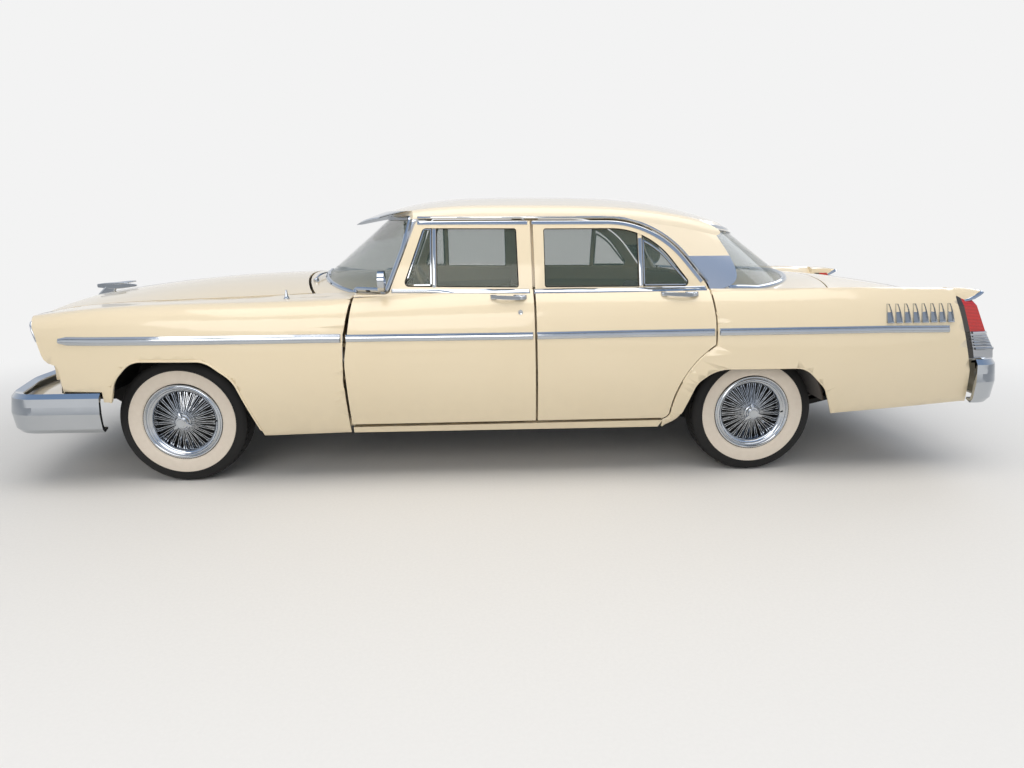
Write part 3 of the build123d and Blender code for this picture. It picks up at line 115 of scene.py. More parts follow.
def edit(piece, kind="FACE", where=None):
    """Opens a piece for editing with the faces or edges selected that are where it says."""
    only(piece)
    bpy.ops.object.mode_set(mode="EDIT")
    bpy.ops.mesh.select_mode(type=kind)
    bpy.ops.mesh.select_all(action="SELECT" if where is None else "DESELECT")
    if where is None:
        return
    bpy.ops.object.mode_set(mode="OBJECT")
    if kind == "FACE":
        for face in piece.data.polygons:
            face.select = bool(where(face.center, face.normal))
    else:
        for edge in piece.data.edges:
            ends = [piece.data.vertices[i].co for i in edge.vertices]
            edge.select = bool(where(*ends))
    bpy.ops.object.mode_set(mode="EDIT")


def done(piece):
    bpy.ops.object.mode_set(mode="OBJECT")
    return piece


WORK = {
    "inset": lambda thickness, depth=0.0: bpy.ops.mesh.inset(thickness=thickness, depth=depth),
    "draw": lambda *step: bpy.ops.mesh.extrude_region_move(TRANSFORM_OT_translate={"value": step}),
    "move": lambda *step: bpy.ops.transform.translate(value=step),
    "resize": lambda *share: bpy.ops.transform.resize(value=share),
}


def worked(piece, where, *steps):
    """Works the faces that look along a way, or that a function picks, by one step after another."""
    pick = where if callable(where) else (lambda centre, normal: normal.dot(where) > SQUARE_ON)
    edit(piece, "FACE", pick)
    for kind, *values in steps:
        WORK[kind](*values)
    return done(piece)


def modify(piece, kind, **settings):
    """Adds a modifier and applies it."""
    only(piece)
    added = piece.modifiers.new(kind.title(), kind)
    for key, value in settings.items():
        setattr(added, key, value)
    bpy.ops.object.modifier_apply(modifier=added.name)
    return piece


def rounded(piece, width, segments=2, angle=30):
    return modify(piece, "BEVEL", width=width, segments=segments, limit_method="ANGLE",
                  angle_limit=math.radians(angle), harden_normals=False)


def smooth(piece, angle=35):
    only(piece)
    bpy.ops.object.shade_smooth_by_angle(angle=math.radians(angle))
    return piece


def outward(piece):
    """Merges doubles and turns all faces outwards."""
    edit(piece)
    bpy.ops.mesh.remove_doubles(threshold=MERGE)
    bpy.ops.mesh.normals_make_consistent(inside=False)
    return done(piece)


def copy_of(piece, name):
    only(piece)
    bpy.ops.object.duplicate()
    twin = bpy.context.object
    twin.name = name
    twin.data.name = name
    return twin


def loose_copy(node_name, name):
    """A copy of a CAD node that stands alone and can be worked on."""
    piece = copy_of(NODES[node_name], name)
    piece.parent = None
    for key in list(piece.keys()):
        del piece[key]
    return piece


def mirrored(piece, name):
    """The same piece on the other side of the car."""
    twin = copy_of(piece, name)
    twin.scale = (1, -1, 1)
    bpy.ops.object.transform_apply(location=True, rotation=True, scale=True)
    edit(twin)
    bpy.ops.mesh.normals_make_consistent(inside=False)
    return done(twin)


def joined(pieces, name):
    deselect()
    for piece in pieces:
        piece.select_set(True)
    bpy.context.view_layer.objects.active = pieces[0]
    if len(pieces) > 1:
        bpy.ops.object.join()
    made = bpy.context.object
    made.name = name
    made.data.name = name
    return made


def finish_piece(piece, body, material, angle=35):
    """Gives a piece its shading, its material and the body that it rides on."""
    smooth(piece, angle)
    piece.data.materials.clear()
    piece.data.materials.append(material)
    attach(piece, body)
    return piece


# Materials

def lumps(tree, size, detail=3.0, rough=0.5, low=0.0, high=1.0):
    """Noise whose lumps are about size millimetres across, mapped onto a range."""
    place = node(tree, "ShaderNodeTexCoord").outputs["Object"]
    noise = node(tree, "ShaderNodeTexNoise", {"Scale": 1000 / size, "Detail": detail, "Roughness": rough},
                 {"Vector": place}).outputs["Fac"]
    return node(tree, "ShaderNodeMapRange", {"To Min": low, "To Max": high}, {"Value": noise}).outputs[0]


def look(name, colour, tone=None, gloss=None, relief=None, **settings):
    """A material with one shader, whose plain numbers stand on its own sockets.

    tone is two colours and the noise that mixes them, gloss is the noise that sets the roughness, and relief is
    a noise with its height in millimetres and its strength. Each noise is the list that lumps takes.
    """
    made = bpy.data.materials.new(name)
    made.use_nodes = True
    tree = made.node_tree
    tree.nodes.clear()
    shader = node(tree, "ShaderNodeBsdfPrincipled", {"Base Color": linear(colour)})
    for key, value in settings.items():
        shader.inputs[key.replace("_", " ")].default_value = value
    node(tree, "ShaderNodeOutputMaterial", links={"Surface": shader.outputs[0]})
    if tone:
        first, second, noise = tone
        mix = node(tree, "ShaderNodeMix", {"data_type": "RGBA", 6: linear(first), 7: linear(second)},
                   {0: lumps(tree, *noise)})
        tree.links.new(mix.outputs[2], shader.inputs["Base Color"])
    if gloss:
        tree.links.new(lumps(tree, *gloss), shader.inputs["Roughness"])
    if relief:
        noise, height, strength = relief
        bump = node(tree, "ShaderNodeBump", {"Distance": height / 1000, "Strength": strength},
                    {"Height": lumps(tree, *noise)})
        tree.links.new(bump.outputs[0], shader.inputs["Normal"])
    return made, tree, shader


def recoloured(tree, shader, mask, colour):
    """Lays a colour over the shader's own where the mask is 1."""
    under = shader.inputs["Base Color"].links[0].from_socket
    mix = node(tree, "ShaderNodeMix", {"data_type": "RGBA", 7: linear(colour)}, {0: mask, 6: under})
    tree.links.new(mix.outputs[2], shader.inputs["Base Color"])


def along(tree):
    """The place on the car as its X and Z."""
    place = node(tree, "ShaderNodeTexCoord").outputs["Object"]
    axes = node(tree, "ShaderNodeSeparateXYZ", links={"Vector": place})
    return axes.outputs["X"], axes.outputs["Z"]


def enamel(name, light, shade):
    """Baked enamel: sprayed and polished, so a clear gloss over faint orange peel, with a little dust."""
    # tones cloud over about half a metre, as old polish leaves them, and orange peel cells are 3 to 6 mm wide
    made, tree, shader = look(name, light, (light, shade, (520, 2.0, 0.5, 0.0, 0.5)), relief=((5,), 0.02, 0.05),
                              Roughness=0.34, Coat_Weight=1.0, Coat_Roughness=0.045)
    low = node(tree, "ShaderNodeMapRange", {"From Min": 0.62, "From Max": 0.28}, {"Value": along(tree)[1]})
    speck = node(tree, "ShaderNodeMath", {"operation": "MULTIPLY"},
                 {0: low.outputs[0], 1: lumps(tree, 60, 5.0, 0.5, 0.05, 0.32)})
    recoloured(tree, shader, speck.outputs[0], "#B9AC93")
    return made, tree, shader


CREAM = enamel("enamel_cream", "#E8D9BA", "#E1CFAC")[0]
ROOF_CREAM, _tree, _shader = enamel("enamel_roof", "#EDE1C8", "#E7D7BA")


def bright_pillars(tree, shader):
    """The screen pillars and the panels at the foot of the rear ones are bright anodised metal."""
    x, z = along(tree)
    masks = []
    for beyond, edge, top in (("LESS_THAN", -0.49, 1.436), ("GREATER_THAN", 0.9, 1.236)):
        past = node(tree, "ShaderNodeMath", {"operation": beyond, 1: edge}, {0: x})
        under = node(tree, "ShaderNodeMath", {"operation": "LESS_THAN", 1: top}, {0: z})
        masks.append(node(tree, "ShaderNodeMath", {"operation": "MULTIPLY"},
                          {0: past.outputs[0], 1: under.outputs[0]}).outputs[0])
    mask = node(tree, "ShaderNodeMath", {"operation": "MAXIMUM"}, {0: masks[0], 1: masks[1]}).outputs[0]
    recoloured(tree, shader, mask, "#C9CCD2")
    tree.links.new(mask, shader.inputs["Metallic"])
    gloss = node(tree, "ShaderNodeMapRange", {"To Min": 0.34, "To Max": 0.22}, {"Value": mask})
    tree.links.new(gloss.outputs[0], shader.inputs["Roughness"])


bright_pillars(_tree, _shader)


def plated(name, colour, rough, second):
    """Chrome plate on polished steel: a mirror with faint haze from wiping."""
    return look(name, colour, (colour, second, (240, 3.0, 0.5, 0.0, 0.35)),
                (90, 4.0, 0.5, rough * 0.6, rough * 1.9), Metallic=1.0)[0]


CHROME = plated("chrome_plate", "#C9CDD2", 0.06, "#8E9398")
# A darker copy of the same chrome, as painted shade, for the louvres and the CAD wheels
CHROME_PAINTED_SHADE = plated("chrome_shaded", "#A9AEB4", 0.09, "#6F757B")
POLISHED = plated("polished_aluminium", "#D2D4D8", 0.16, "#A4A8AC")

# Laminated safety glass with a slight green tint, seen mostly through
GLASS = look("safety_glass", "#DDEBE2", ("#5D6F66", "#4B5B54", (160, 3.0, 0.5, 0.0, 0.4)),
             (160, 3.0, 0.5, 0.01, 0.045), IOR=1.5, Alpha=0.26, Specular_IOR_Level=0.7)[0]

# Lamp housing: its optic ribs are 4 mm apart, and its front edge leans back as it rises
RIB_MM = 4
WAVE_SCALE = 1000 / RIB_MM / 6.283
LENS_FOOT = 0.818
POD_LEAN = 0.29
POD_FRONT = 2.5075 + POD_LEAN * 0.976


def tail_housing():
    """Lamp housing: red lens above, silvered below, and painted shade in the recessed channel along its front.
    """
    made, tree, shader = look("lamp_housing", "#B3120F", Roughness=0.14, IOR=1.49, Coat_Weight=0.6,
                              Coat_Roughness=0.04)
    x, z = along(tree)
    # optic ribs run across the lens
    ribs = node(tree, "ShaderNodeTexWave", {"bands_direction": "Z", "Scale": WAVE_SCALE, "Distortion": 0.0},
                {"Vector": node(tree, "ShaderNodeTexCoord").outputs["Object"]}).outputs["Fac"]
    lens = node(tree, "ShaderNodeMix", {"data_type": "RGBA", 6: linear("#8F0B0B"), 7: linear("#D8261C")},
                {0: ribs})
    tree.links.new(lens.outputs[2], shader.inputs["Base Color"])
    below = node(tree, "ShaderNodeMath", {"operation": "LESS_THAN", 1: LENS_FOOT}, {0: z}).outputs[0]
    lean = node(tree, "ShaderNodeMath", {"operation": "MULTIPLY_ADD", 1: POD_LEAN}, {0: z, 2: x}).outputs[0]
    ahead = node(tree, "ShaderNodeMath", {"operation": "LESS_THAN", 1: POD_FRONT}, {0: lean}).outputs[0]
    recoloured(tree, shader, below, "#C6C8CC")
    # painted shade: the channel ahead of the lens's leaning front edge is coloured dark brown for the shadow in
    # its recess
    recoloured(tree, shader, ahead, "#2E2A25")
    behind = node(tree, "ShaderNodeMath", {"operation": "SUBTRACT", 0: 1.0}, {1: ahead}).outputs[0]
    silver = node(tree, "ShaderNodeMath", {"operation": "MULTIPLY"}, {0: below, 1: behind}).outputs[0]
    tree.links.new(silver, shader.inputs["Metallic"])
    bump = node(tree, "ShaderNodeBump", {"Distance": 0.0006, "Strength": 0.35}, {"Height": ribs})
    tree.links.new(bump.outputs[0], shader.inputs["Normal"])
    return made


LENS_RED = tail_housing()

# Painted cast iron: lumpy enamel over sand-cast skin, oily in places
IRON = look("cast_iron_painted", "#5B6063", ("#34383A", "#6E7476", (120, 5.0, 0.6)),
            (120, 5.0, 0.6, 0.35, 0.75), ((3,), 0.4, 0.5), Metallic=0.2)[0]

# Exhaust steel: rolled and aluminised, with heat and road stains
EXHAUST = look("exhaust_steel", "#8B8983", ("#5A4C42", "#A09F9A", (70, 6.0, 0.7)), (70, 6.0, 0.7, 0.65, 0.35),
               Metallic=0.85)[0]


def rubber(name, colour, worn, lump):
    """Moulded rubber: dull, with greyer dusty patches."""
    return look(name, colour, (colour, worn, (lump, 6.0, 0.65, 0.0, 0.55)), (lump, 6.0, 0.65, 0.55, 0.85),
                ((2.5,), 0.15, 0.3), Specular_IOR_Level=0.35)[0]


UNDERBODY = rubber("underbody_black", "#121314", "#2A2926", 45)
TYRE_BLACK = rubber("tyre_rubber", "#151516", "#2B2A29", 12)
SEAL = rubber("seal_rubber", "#101112", "#1F2021", 12)
WHITEWALL = rubber("whitewall_rubber", "#E3D9CB", "#C9BCAA", 28)
PEBBLE_MM = 2.2


def leathercloth(name, colour, deep):
    """Vinyl-coated seat cloth: soft sheen and a pebbled grain, drawn a little coarser than the real 1.5 mm."""
    made, tree, shader = look(name, colour, (deep, colour, (140, 4.0)), (140, 4.0, 0.5, 0.42, 0.62),
                              Sheen_Weight=0.15, Sheen_Roughness=0.5)
    cells = node(tree, "ShaderNodeTexVoronoi", {"feature": "DISTANCE_TO_EDGE", "Scale": 1000 / PEBBLE_MM},
                 {"Vector": node(tree, "ShaderNodeTexCoord").outputs["Object"]}).outputs["Distance"]
    bump = node(tree, "ShaderNodeBump", {"Distance": 0.00035, "Strength": 0.5}, {"Height": cells})
    tree.links.new(bump.outputs[0], shader.inputs["Normal"])
    return made


SEAT_RED = leathercloth("leathercloth_oxblood", "#6A3129", "#4A201B")
SEAT_DARK = leathercloth("leathercloth_charcoal", "#3A3B3F", "#292A2D")


def moulded_plastic(name, colour, deep):
    """Compression-moulded plastic, polished by hands."""
    return look(name, colour, (deep, colour, (40, 4.0)), (40, 4.0, 0.5, 0.25, 0.42), Coat_Weight=0.4,
                Coat_Roughness=0.12)[0]


IVORY = moulded_plastic("wheel_ivory", "#E4D6B8", "#D2C2A0")
DIAL_BLACK = moulded_plastic("dial_black", "#17181A", "#101112")
DASH = enamel("dash_enamel", "#DCC9A3", "#D0BC94")[0]
LAMP_GLASS = look("lamp_glass", "#D9DEE0", Roughness=0.05, Metallic=0.35, Coat_Weight=1.0)[0]

# Loop-pile carpet with a fleck in it
CARPET = look("carpet_loop", "#4B423A", ("#332C27", "#5E5349", (6, 5.0, 0.8)), relief=((6, 5.0, 0.8), 1.5, 0.8),
              Roughness=0.95, Sheen_Weight=0.3)[0]


NODE_FINISH = {
    "chassis_frame": UNDERBODY, "floor_pan": CARPET, "front_wheel_houses": UNDERBODY, "cowl": CREAM,
    "sills_and_posts": CREAM, "rear_body": CREAM, "roof": ROOF_CREAM, "windscreen": GLASS, "rear_window": GLASS,
    "sun_visor": CHROME, "hood": CREAM, "deck_lid": CREAM, "front_bumper": CHROME, "rear_bumper": CHROME,
    "grille": CHROME, "headlamps": LAMP_GLASS, "tail_lamps": LENS_RED, "radiator": UNDERBODY, "engine": IRON,
    "exhaust": EXHAUST, "fuel_tank": UNDERBODY, "rear_axle": UNDERBODY, "front_seat": SEAT_RED,
    "rear_seat": SEAT_RED, "dashboard": DASH, "steering_column": DASH, "steering_wheel": IVORY,
    "mirror": CHROME,
}
for _side in ("left", "right"):
    NODE_FINISH.update({
        "front_fender_" + _side: CREAM, "front_door_" + _side: CREAM, "rear_door_" + _side: CREAM,
        "front_door_glass_" + _side: GLASS, "rear_door_glass_" + _side: GLASS, "knuckle_" + _side: UNDERBODY,
    })
    for _end in ("front", "rear"):
        NODE_FINISH[f"wheel_{_end}_{_side}"] = CHROME_PAINTED_SHADE
        NODE_FINISH[f"tyre_{_end}_{_side}"] = TYRE_BLACK
for _name, _material in NODE_FINISH.items():
    _part = NODES[_name]
    _part.data.materials.clear()
    _part.data.materials.append(_material)
    smooth(_part, 32)


# Camera at the photograph's place

YAW = math.radians(2.7755)
PITCH = math.radians(13.2953)
ROLL = math.radians(-0.1653)
FOCAL_PIXELS = 709.64
PICTURE_WIDTH = 1024
SENSOR_MM = 36
ahead = Vector((math.sin(YAW) * math.cos(PITCH), math.cos(YAW) * math.cos(PITCH), -math.sin(PITCH)))
right = Vector((math.cos(YAW), -math.sin(YAW), 0))
up = right.cross(ahead)
right, up = right * math.cos(ROLL) + up * math.sin(ROLL), up * math.cos(ROLL) - right * math.sin(ROLL)
deselect()
bpy.ops.object.camera_add(location=(-0.1826, -4.7120, 1.4502))
camera = bpy.context.object
camera.name = "camera_side"
camera.rotation_euler = Matrix((right, up, -ahead)).transposed().to_euler()
camera.data.sensor_width = SENSOR_MM
camera.data.lens = FOCAL_PIXELS * SENSOR_MM / PICTURE_WIDTH
camera.data.clip_end = 200
bpy.context.scene.camera = camera


# Floor, world and lamps

WALL = "#F3F3F3"


def pale_stage():
    """Studio floor: matt painted concrete that fades into the background."""
    deselect()
    bpy.ops.mesh.primitive_grid_add(x_subdivisions=4, y_subdivisions=4, size=60, location=(0, 0, 0))
    floor = take("studio_floor")
    made, tree, shader = look("studio_paint", "#DCDBD8", ("#D6D5D2", "#E2E1DE", (14, 5.0, 0.7)), Roughness=0.8)
    # beyond the car's own shadow the floor turns into the pale background
    flat = node(tree, "ShaderNodeVectorMath", {"operation": "MULTIPLY", 1: (0.72, 1.0, 0.0)},
                {0: node(tree, "ShaderNodeTexCoord").outputs["Object"]})
    away = node(tree, "ShaderNodeVectorMath", {"operation": "LENGTH"}, {0: flat.outputs[0]})
    fade = node(tree, "ShaderNodeMapRange",
                {"From Min": 1.9, "From Max": 4.6, "interpolation_type": "SMOOTHSTEP"},
                {"Value": away.outputs["Value"]})
    glow = node(tree, "ShaderNodeEmission", {"Color": linear(WALL), "Strength": 1.0})
    seen = node(tree, "ShaderNodeLightPath").outputs["Is Camera Ray"]
    share = node(tree, "ShaderNodeMath", {"operation": "MULTIPLY"}, {0: fade.outputs[0], 1: seen})
    both_ways = node(tree, "ShaderNodeMixShader", {},
                     {0: share.outputs[0], 1: shader.outputs[0], 2: glow.outputs[0]})
    output = next(n for n in tree.nodes if n.type == "OUTPUT_MATERIAL")
    tree.links.new(both_ways.outputs[0], output.inputs["Surface"])
    floor.data.materials.append(made)


def pale_world():
    """Glossy and clear rays see a pale wall that turns to a cooler ceiling."""
    world = bpy.data.worlds.new("studio_world")
    bpy.context.scene.world = world
    world.use_nodes = True
    tree = world.node_tree
    tree.nodes.clear()
    rays = node(tree, "ShaderNodeLightPath").outputs
    place = node(tree, "ShaderNodeTexCoord").outputs["Generated"]
    way = node(tree, "ShaderNodeSeparateXYZ", links={"Vector": place})
    high = node(tree, "ShaderNodeMapRange", {"From Min": 0.05, "From Max": 0.75}, {"Value": way.outputs["Z"]})
    sky = node(tree, "ShaderNodeMix", {"data_type": "RGBA", 6: linear("#F0F0F0"), 7: linear("#8FA9CC")},
               {0: high.outputs[0]})
    seen = node(tree, "ShaderNodeBackground", {"Strength": 1.0}, {"Color": sky.outputs[2]})
    lit = node(tree, "ShaderNodeBackground", {"Color": linear("#E9EEF6"), "Strength": 0.62})
    sheen = node(tree, "ShaderNodeMath", {"operation": "MAXIMUM"},
                 {0: rays["Is Glossy Ray"], 1: rays["Is Transmission Ray"]})
    pale = node(tree, "ShaderNodeBackground", {"Color": linear(WALL), "Strength": 1.0})
    inner = node(tree, "ShaderNodeMixShader", {}, {0: sheen.outputs[0], 1: lit.outputs[0], 2: seen.outputs[0]})
    outer = node(tree, "ShaderNodeMixShader", {},
                 {0: rays["Is Camera Ray"], 1: inner.outputs[0], 2: pale.outputs[0]})
    node(tree, "ShaderNodeOutputWorld", links={"Surface": outer.outputs[0]})


LAMPS = (
    ("lamp_over", (0.3, -2.2, 6.5), (9.0, 4.5), 300, "#FFF7EC"),
    ("lamp_side", (-2.5, -8.5, 4.2), (7.0, 3.0), 190, "#FFF9F2"),
    ("lamp_rear", (6.5, 4.0, 5.0), (5.0, 3.0), 120, "#F2F6FF"),
)
pale_stage()
pale_world()
for _name, _spot, _size, _power, _warm in LAMPS:
    deselect()
    bpy.ops.object.light_add(type="AREA", location=_spot)
    _lamp = bpy.context.object
    _lamp.name = _name
    _lamp.data.shape = "RECTANGLE"
    _lamp.data.size, _lamp.data.size_y = _size
    _lamp.data.energy = _power
    _lamp.data.color = linear(_warm)[:3]
    _aim = Vector((0.0, 0.0, 0.6)) - Vector(_spot)
    _lamp.rotation_euler = _aim.to_track_quat("-Z", "Y").to_euler()
bpy.context.scene.view_settings.view_transform = "Standard"


# Strips and panels that lie on the body

def at(x, z, y=0.0):
    """A point of a drawing that is made from the middle of the wheelbase, in millimetres."""
    return Vector((x / 1000 + SHIFT, y / 1000, z / 1000))


def arc(centre, radius, first, last, steps=12):
    """Points of a side-view arc, its angles in degrees from the rear upwards."""
    angles = [math.radians(first + (last - first) * k / steps) for k in range(steps + 1)]
    return [at(centre[0] + radius * math.cos(a), centre[1] + radius * math.sin(a)) for a in angles]


def even(points, step):
    """Points about one step apart along the runs between the given ones."""
    line = [points[0]]
    for a, b in zip(points, points[1:]):
        count = max(1, round((b - a).length / step))
        line += [a.lerp(b, (k + 1) / count) for k in range(count)]
    return line


def touch(carriers, start, aim):
    """Nearest point and normal that a straight line meets on the named CAD nodes."""
    best = None
    for name in carriers:
        hit, spot, normal, _ = NODES[name].ray_cast(start, aim)
        if hit and (best is None or (spot - start).length < (best[0] - start).length):
            best = (spot, normal)
    return best


REACH = 2.5
NEAR = 0.035
SUNK = 0.0004
STRIP_WALL = 0.0012


def flank(name, x, z):
    """Point of a node's outer surface on the left side, at a point of the side view."""
    return touch([name], at(x, z) - SIDE * REACH, SIDE)[0]


def laid(name, carrier, route, half_width, section, step):
    """A strip laid on a CAD panel along a route. Its section is rows of (share of half width, height in mm)."""
    line = even(route, step)
    line = [line[0], line[0].lerp(line[1], 0.1)] + line[1:-1] + [line[-1].lerp(line[-2], 0.1), line[-1]]
    count, rows = len(line), len(section)
    widths = half_width if callable(half_width) else (lambda share: half_width)
    deselect()
    bpy.ops.mesh.primitive_grid_add(x_subdivisions=count - 1, y_subdivisions=rows - 1, size=1)
    piece = take(name)
    spots = []
    centre = next(filter(None, (touch([carrier], point - SIDE * REACH, SIDE) for point in line)))
    for i, point in enumerate(line):
        run = (line[min(i + 1, count - 1)] - line[max(i - 1, 0)]).normalized()
        across = SIDE.cross(run).normalized()
        centre = touch([carrier], point - SIDE * REACH, SIDE) or centre
        here = Vector((point.x, centre[0].y, point.z))
        full = 1 if 0 < i < count - 1 else 0
        column = []
        for share, height in section:
            probe = point + across * widths(i / (count - 1)) * share
            found = touch([carrier], probe - SIDE * REACH, SIDE)
            if found and abs((found[0] - here).dot(SIDE)) < NEAR + (probe - point).length:
                spot, normal = found
            else:
                normal = centre[1]
                spot = here + (probe - point)
                spot = spot - SIDE * ((spot - here).dot(normal) / SIDE.dot(normal))
            column.append(spot + normal * (height / 1000 * full - SUNK * (1 - full)))
        spots.append(column)
    for vert in piece.data.vertices:
        i = round((vert.co.x + 0.5) * (count - 1))
        j = round((vert.co.y + 0.5) * (rows - 1))
        vert.co = spots[i][j]
    piece.data.update()
    if sum(face.normal.dot(SIDE) * face.area for face in piece.data.polygons) > 0:
        edit(piece)
        bpy.ops.mesh.flip_normals()
        done(piece)
    return modify(piece, "SOLIDIFY", thickness=STRIP_WALL, offset=-1)


def rim(name, node_name, seed, radius, keep=None):
    """A bead along the edge of the face of a CAD node that lies nearest to the seed."""
    source = loose_copy(node_name, name + "_source")
    edit(source)
    bpy.ops.mesh.remove_doubles(threshold=FINE_MERGE)
    done(source)
    nearest = source.data.polygons[source.closest_point_on_mesh(seed)[3]].center.copy()
    edit(source, "FACE", lambda centre, normal: centre == nearest)
    bpy.ops.mesh.faces_select_linked_flat(sharpness=math.radians(30))
    bpy.ops.mesh.region_to_loop()
    bpy.ops.mesh.duplicate(mode=1)
    bpy.ops.mesh.separate(type="SELECTED")
    done(source)
    line = [o for o in bpy.context.selected_objects if o != source][0]
    bpy.data.objects.remove(source)
    if keep:
        edit(line, "EDGE", lambda a, b: not keep((a + b) / 2))
        bpy.ops.mesh.delete(type="EDGE")
        done(line)
    only(line)
    bpy.ops.object.convert(target="CURVE")
    line = bpy.context.object
    line.name = name
    line.data.bevel_depth = radius
    line.data.bevel_resolution = 3
    line.data.use_fill_caps = True
    bpy.ops.object.convert(target="MESH")
    line = bpy.context.object
    line.data.name = name
    return outward(line)


def both(piece, body, material, angle=35):
    """Finishes a left piece, and its twin on the car's right."""
    twin = mirrored(piece, piece.name.replace("left", "right"))
    finish_piece(piece, body, material, angle)
    finish_piece(twin, body.replace("left", "right"), material, angle)


# Chrome strips on the left side, with the panels' seams between their lengths

RIDGED = (
    (-1, -1), (-0.94, 4), (-0.55, 6), (-0.42, 3.5), (-0.3, 7.5), (0.25, 9.5), (0.62, 8), (0.94, 4), (1, -1),
)
HALF_ROUND = ((-1, -1), (-0.9, 3), (-0.45, 6), (0.45, 6), (0.9, 3), (1, -1))
FLAT_BAND = ((-1, -0.5), (-0.93, 2.5), (-0.3, 3.2), (0.3, 3.2), (0.93, 2.5), (1, -0.5))
DRIP_CENTRE = (748.9, 877)
DRIP_SWEEP = (90, 38.66, 16)


def pointed(share):
    """Half width of the spear that starts in a point on the front fender."""
    return 0.023 * min(1, 0.12 + share * 14)


STRIPS = (
    ("spear_fender_left", "front_fender_left", "body_shell", RIDGED, pointed, 0.05,
     [at(-2163, 822), at(-2010, 821), at(-965, 828), at(-686, 829)]),
    ("spear_front_door_left", "front_door_left", "front_door_left", RIDGED, 0.0195, 0.05,
     [at(-664, 829), at(-200, 830), at(330, 832)]),
    ("spear_rear_door_left", "rear_door_left", "rear_door_left", RIDGED, 0.0195, 0.05,
     [at(347, 832), at(800, 837), at(1311, 841)]),
    ("spear_quarter_left", "rear_body", "body_shell", RIDGED, 0.0195, 0.05,
     [at(1334, 841), at(1800, 843), at(2276, 844), at(2635, 840)]),
    ("belt_front_left", "front_door_left", "front_door_left", HALF_ROUND, 0.0115, 0.06,
     [at(-425, 1063), at(0, 1060), at(318, 1059)]),
    ("belt_rear_left", "rear_door_left", "rear_door_left", HALF_ROUND, 0.0115, 0.06,
     [at(338, 1059), at(700, 1060), at(1283, 1066)]),
    ("top_band_front_left", "front_door_left", "front_door_left", FLAT_BAND, 0.0095, 0.06,
     [at(-286, 1416), at(311, 1416)]),
    ("top_band_rear_left", "rear_door_left", "rear_door_left", FLAT_BAND, 0.0095, 0.04,
     [at(333, 1416), *arc(DRIP_CENTRE, 539, *DRIP_SWEEP), at(1262, 1098)]),
    ("gutter_left", "roof", "body_shell", HALF_ROUND, 0.006, 0.04,
     [at(-286, 1444), *arc(DRIP_CENTRE, 567, *DRIP_SWEEP), at(1296, 1100)]),
    ("window_bar_front_left", "front_door_left", "front_door_left", HALF_ROUND, 0.0105, 0.05,
     [at(-195, 1078), at(-195, 1388)]),
    ("window_bar_rear_left", "rear_door_left", "rear_door_left", HALF_ROUND, 0.0105, 0.05,
     [at(926, 1078), at(926, 1335)]),
    ("vent_front_left", "front_door_glass_left", "front_door_left", HALF_ROUND, 0.006, 0.04,
     [at(-213, 1091), at(-213, 1381), at(-249, 1381), at(-350, 1091), at(-213, 1091)]),
    ("vent_rear_left", "rear_door_glass_left", "rear_door_left", HALF_ROUND, 0.006, 0.04,
     [at(944, 1084), at(944, 1322), *arc((783, 966), 388, 64, 38, 8), at(1196, 1084), at(944, 1084)]),
)
for _name, _carrier, _body, _section, _width, _step, _route in STRIPS:
    both(laid(_name, _carrier, _route, _width, _section, _step), _body, CHROME)

# Rubber channels round the panes, and screen surrounds

for _part, _seeds in (("front", ((-250, 1200), (50, 1250))), ("rear", ((600, 1200), (1050, 1150)))):
    _glass = _part + "_door_glass_left"
    for _k, (_x, _z) in enumerate(_seeds):
        _channel = rim(f"channel_{_part}_{_k}_left", _glass, flank(_glass, _x, _z), 0.0045)
        both(_channel, _part + "_door_left", SEAL)

for _name, _start, _aim, _radius in (
    ("windscreen", (-3, 0, 1.25), BACK, 0.015),
    ("rear_window", (3, 0, 1.2), AHEAD, 0.019),
):
    _spot = touch([_name], Vector(_start), _aim)[0]
    finish_piece(rim(_name + "_surround", _name, _spot, _radius), "body_shell", CHROME)

# Rolled lips of the wheel arches


def lip_zone(low_x, high_x, low_z, front_z=0.0):
    """Keeps the bead to the arch, and above front_z on the arch's front leg."""
    def inside(p):
        foot = low_z if p.x > low_x + 0.2 else max(low_z, front_z)
        return low_x < p.x < high_x and foot < p.z < 0.725

    return inside


_lip = rim("arch_lip_front_left", "front_fender_left", flank("front_fender_left", -1000, 600), 0.006,
           lip_zone(-2.17, -1.29, 0.31, 0.495))
both(_lip, "body_shell", CREAM)
_lip = rim("arch_lip_rear_left", "rear_body", flank("rear_body", 2300, 600), 0.006, lip_zone(0.93, 1.84, 0.375))
_lip.data.transform(Matrix.Translation((0, 0.0056, 0)))
both(_lip, "body_shell", CREAM)


# Wheels and tyres, made once about the hub with the outer side at -Y

def spun(name, profile, sides=96):
    """A ring turned about the Y axis from (radius, y) points in millimetres, listed round the section."""
    deselect()
    bpy.ops.mesh.primitive_circle_add(vertices=len(profile), radius=1, fill_type="NOTHING")
    piece = take(name)
    for vert, (radius, y) in zip(piece.data.vertices, profile):
        vert.co = (radius / 1000, y / 1000, 0)
    edit(piece)
    bpy.ops.mesh.spin(steps=sides, angle=math.tau, center=(0, 0, 0), axis=(0, 1, 0))
    done(piece)
    return outward(piece)


def around(piece, count):
    """Repeats a piece evenly about the hub's axis, as one mesh."""
    edit(piece)
    bpy.ops.mesh.spin(steps=count - 1, dupli=True, angle=math.tau * (count - 1) / count, center=(0, 0, 0),
                      axis=(0, 1, 0))
    done(piece)
    return piece


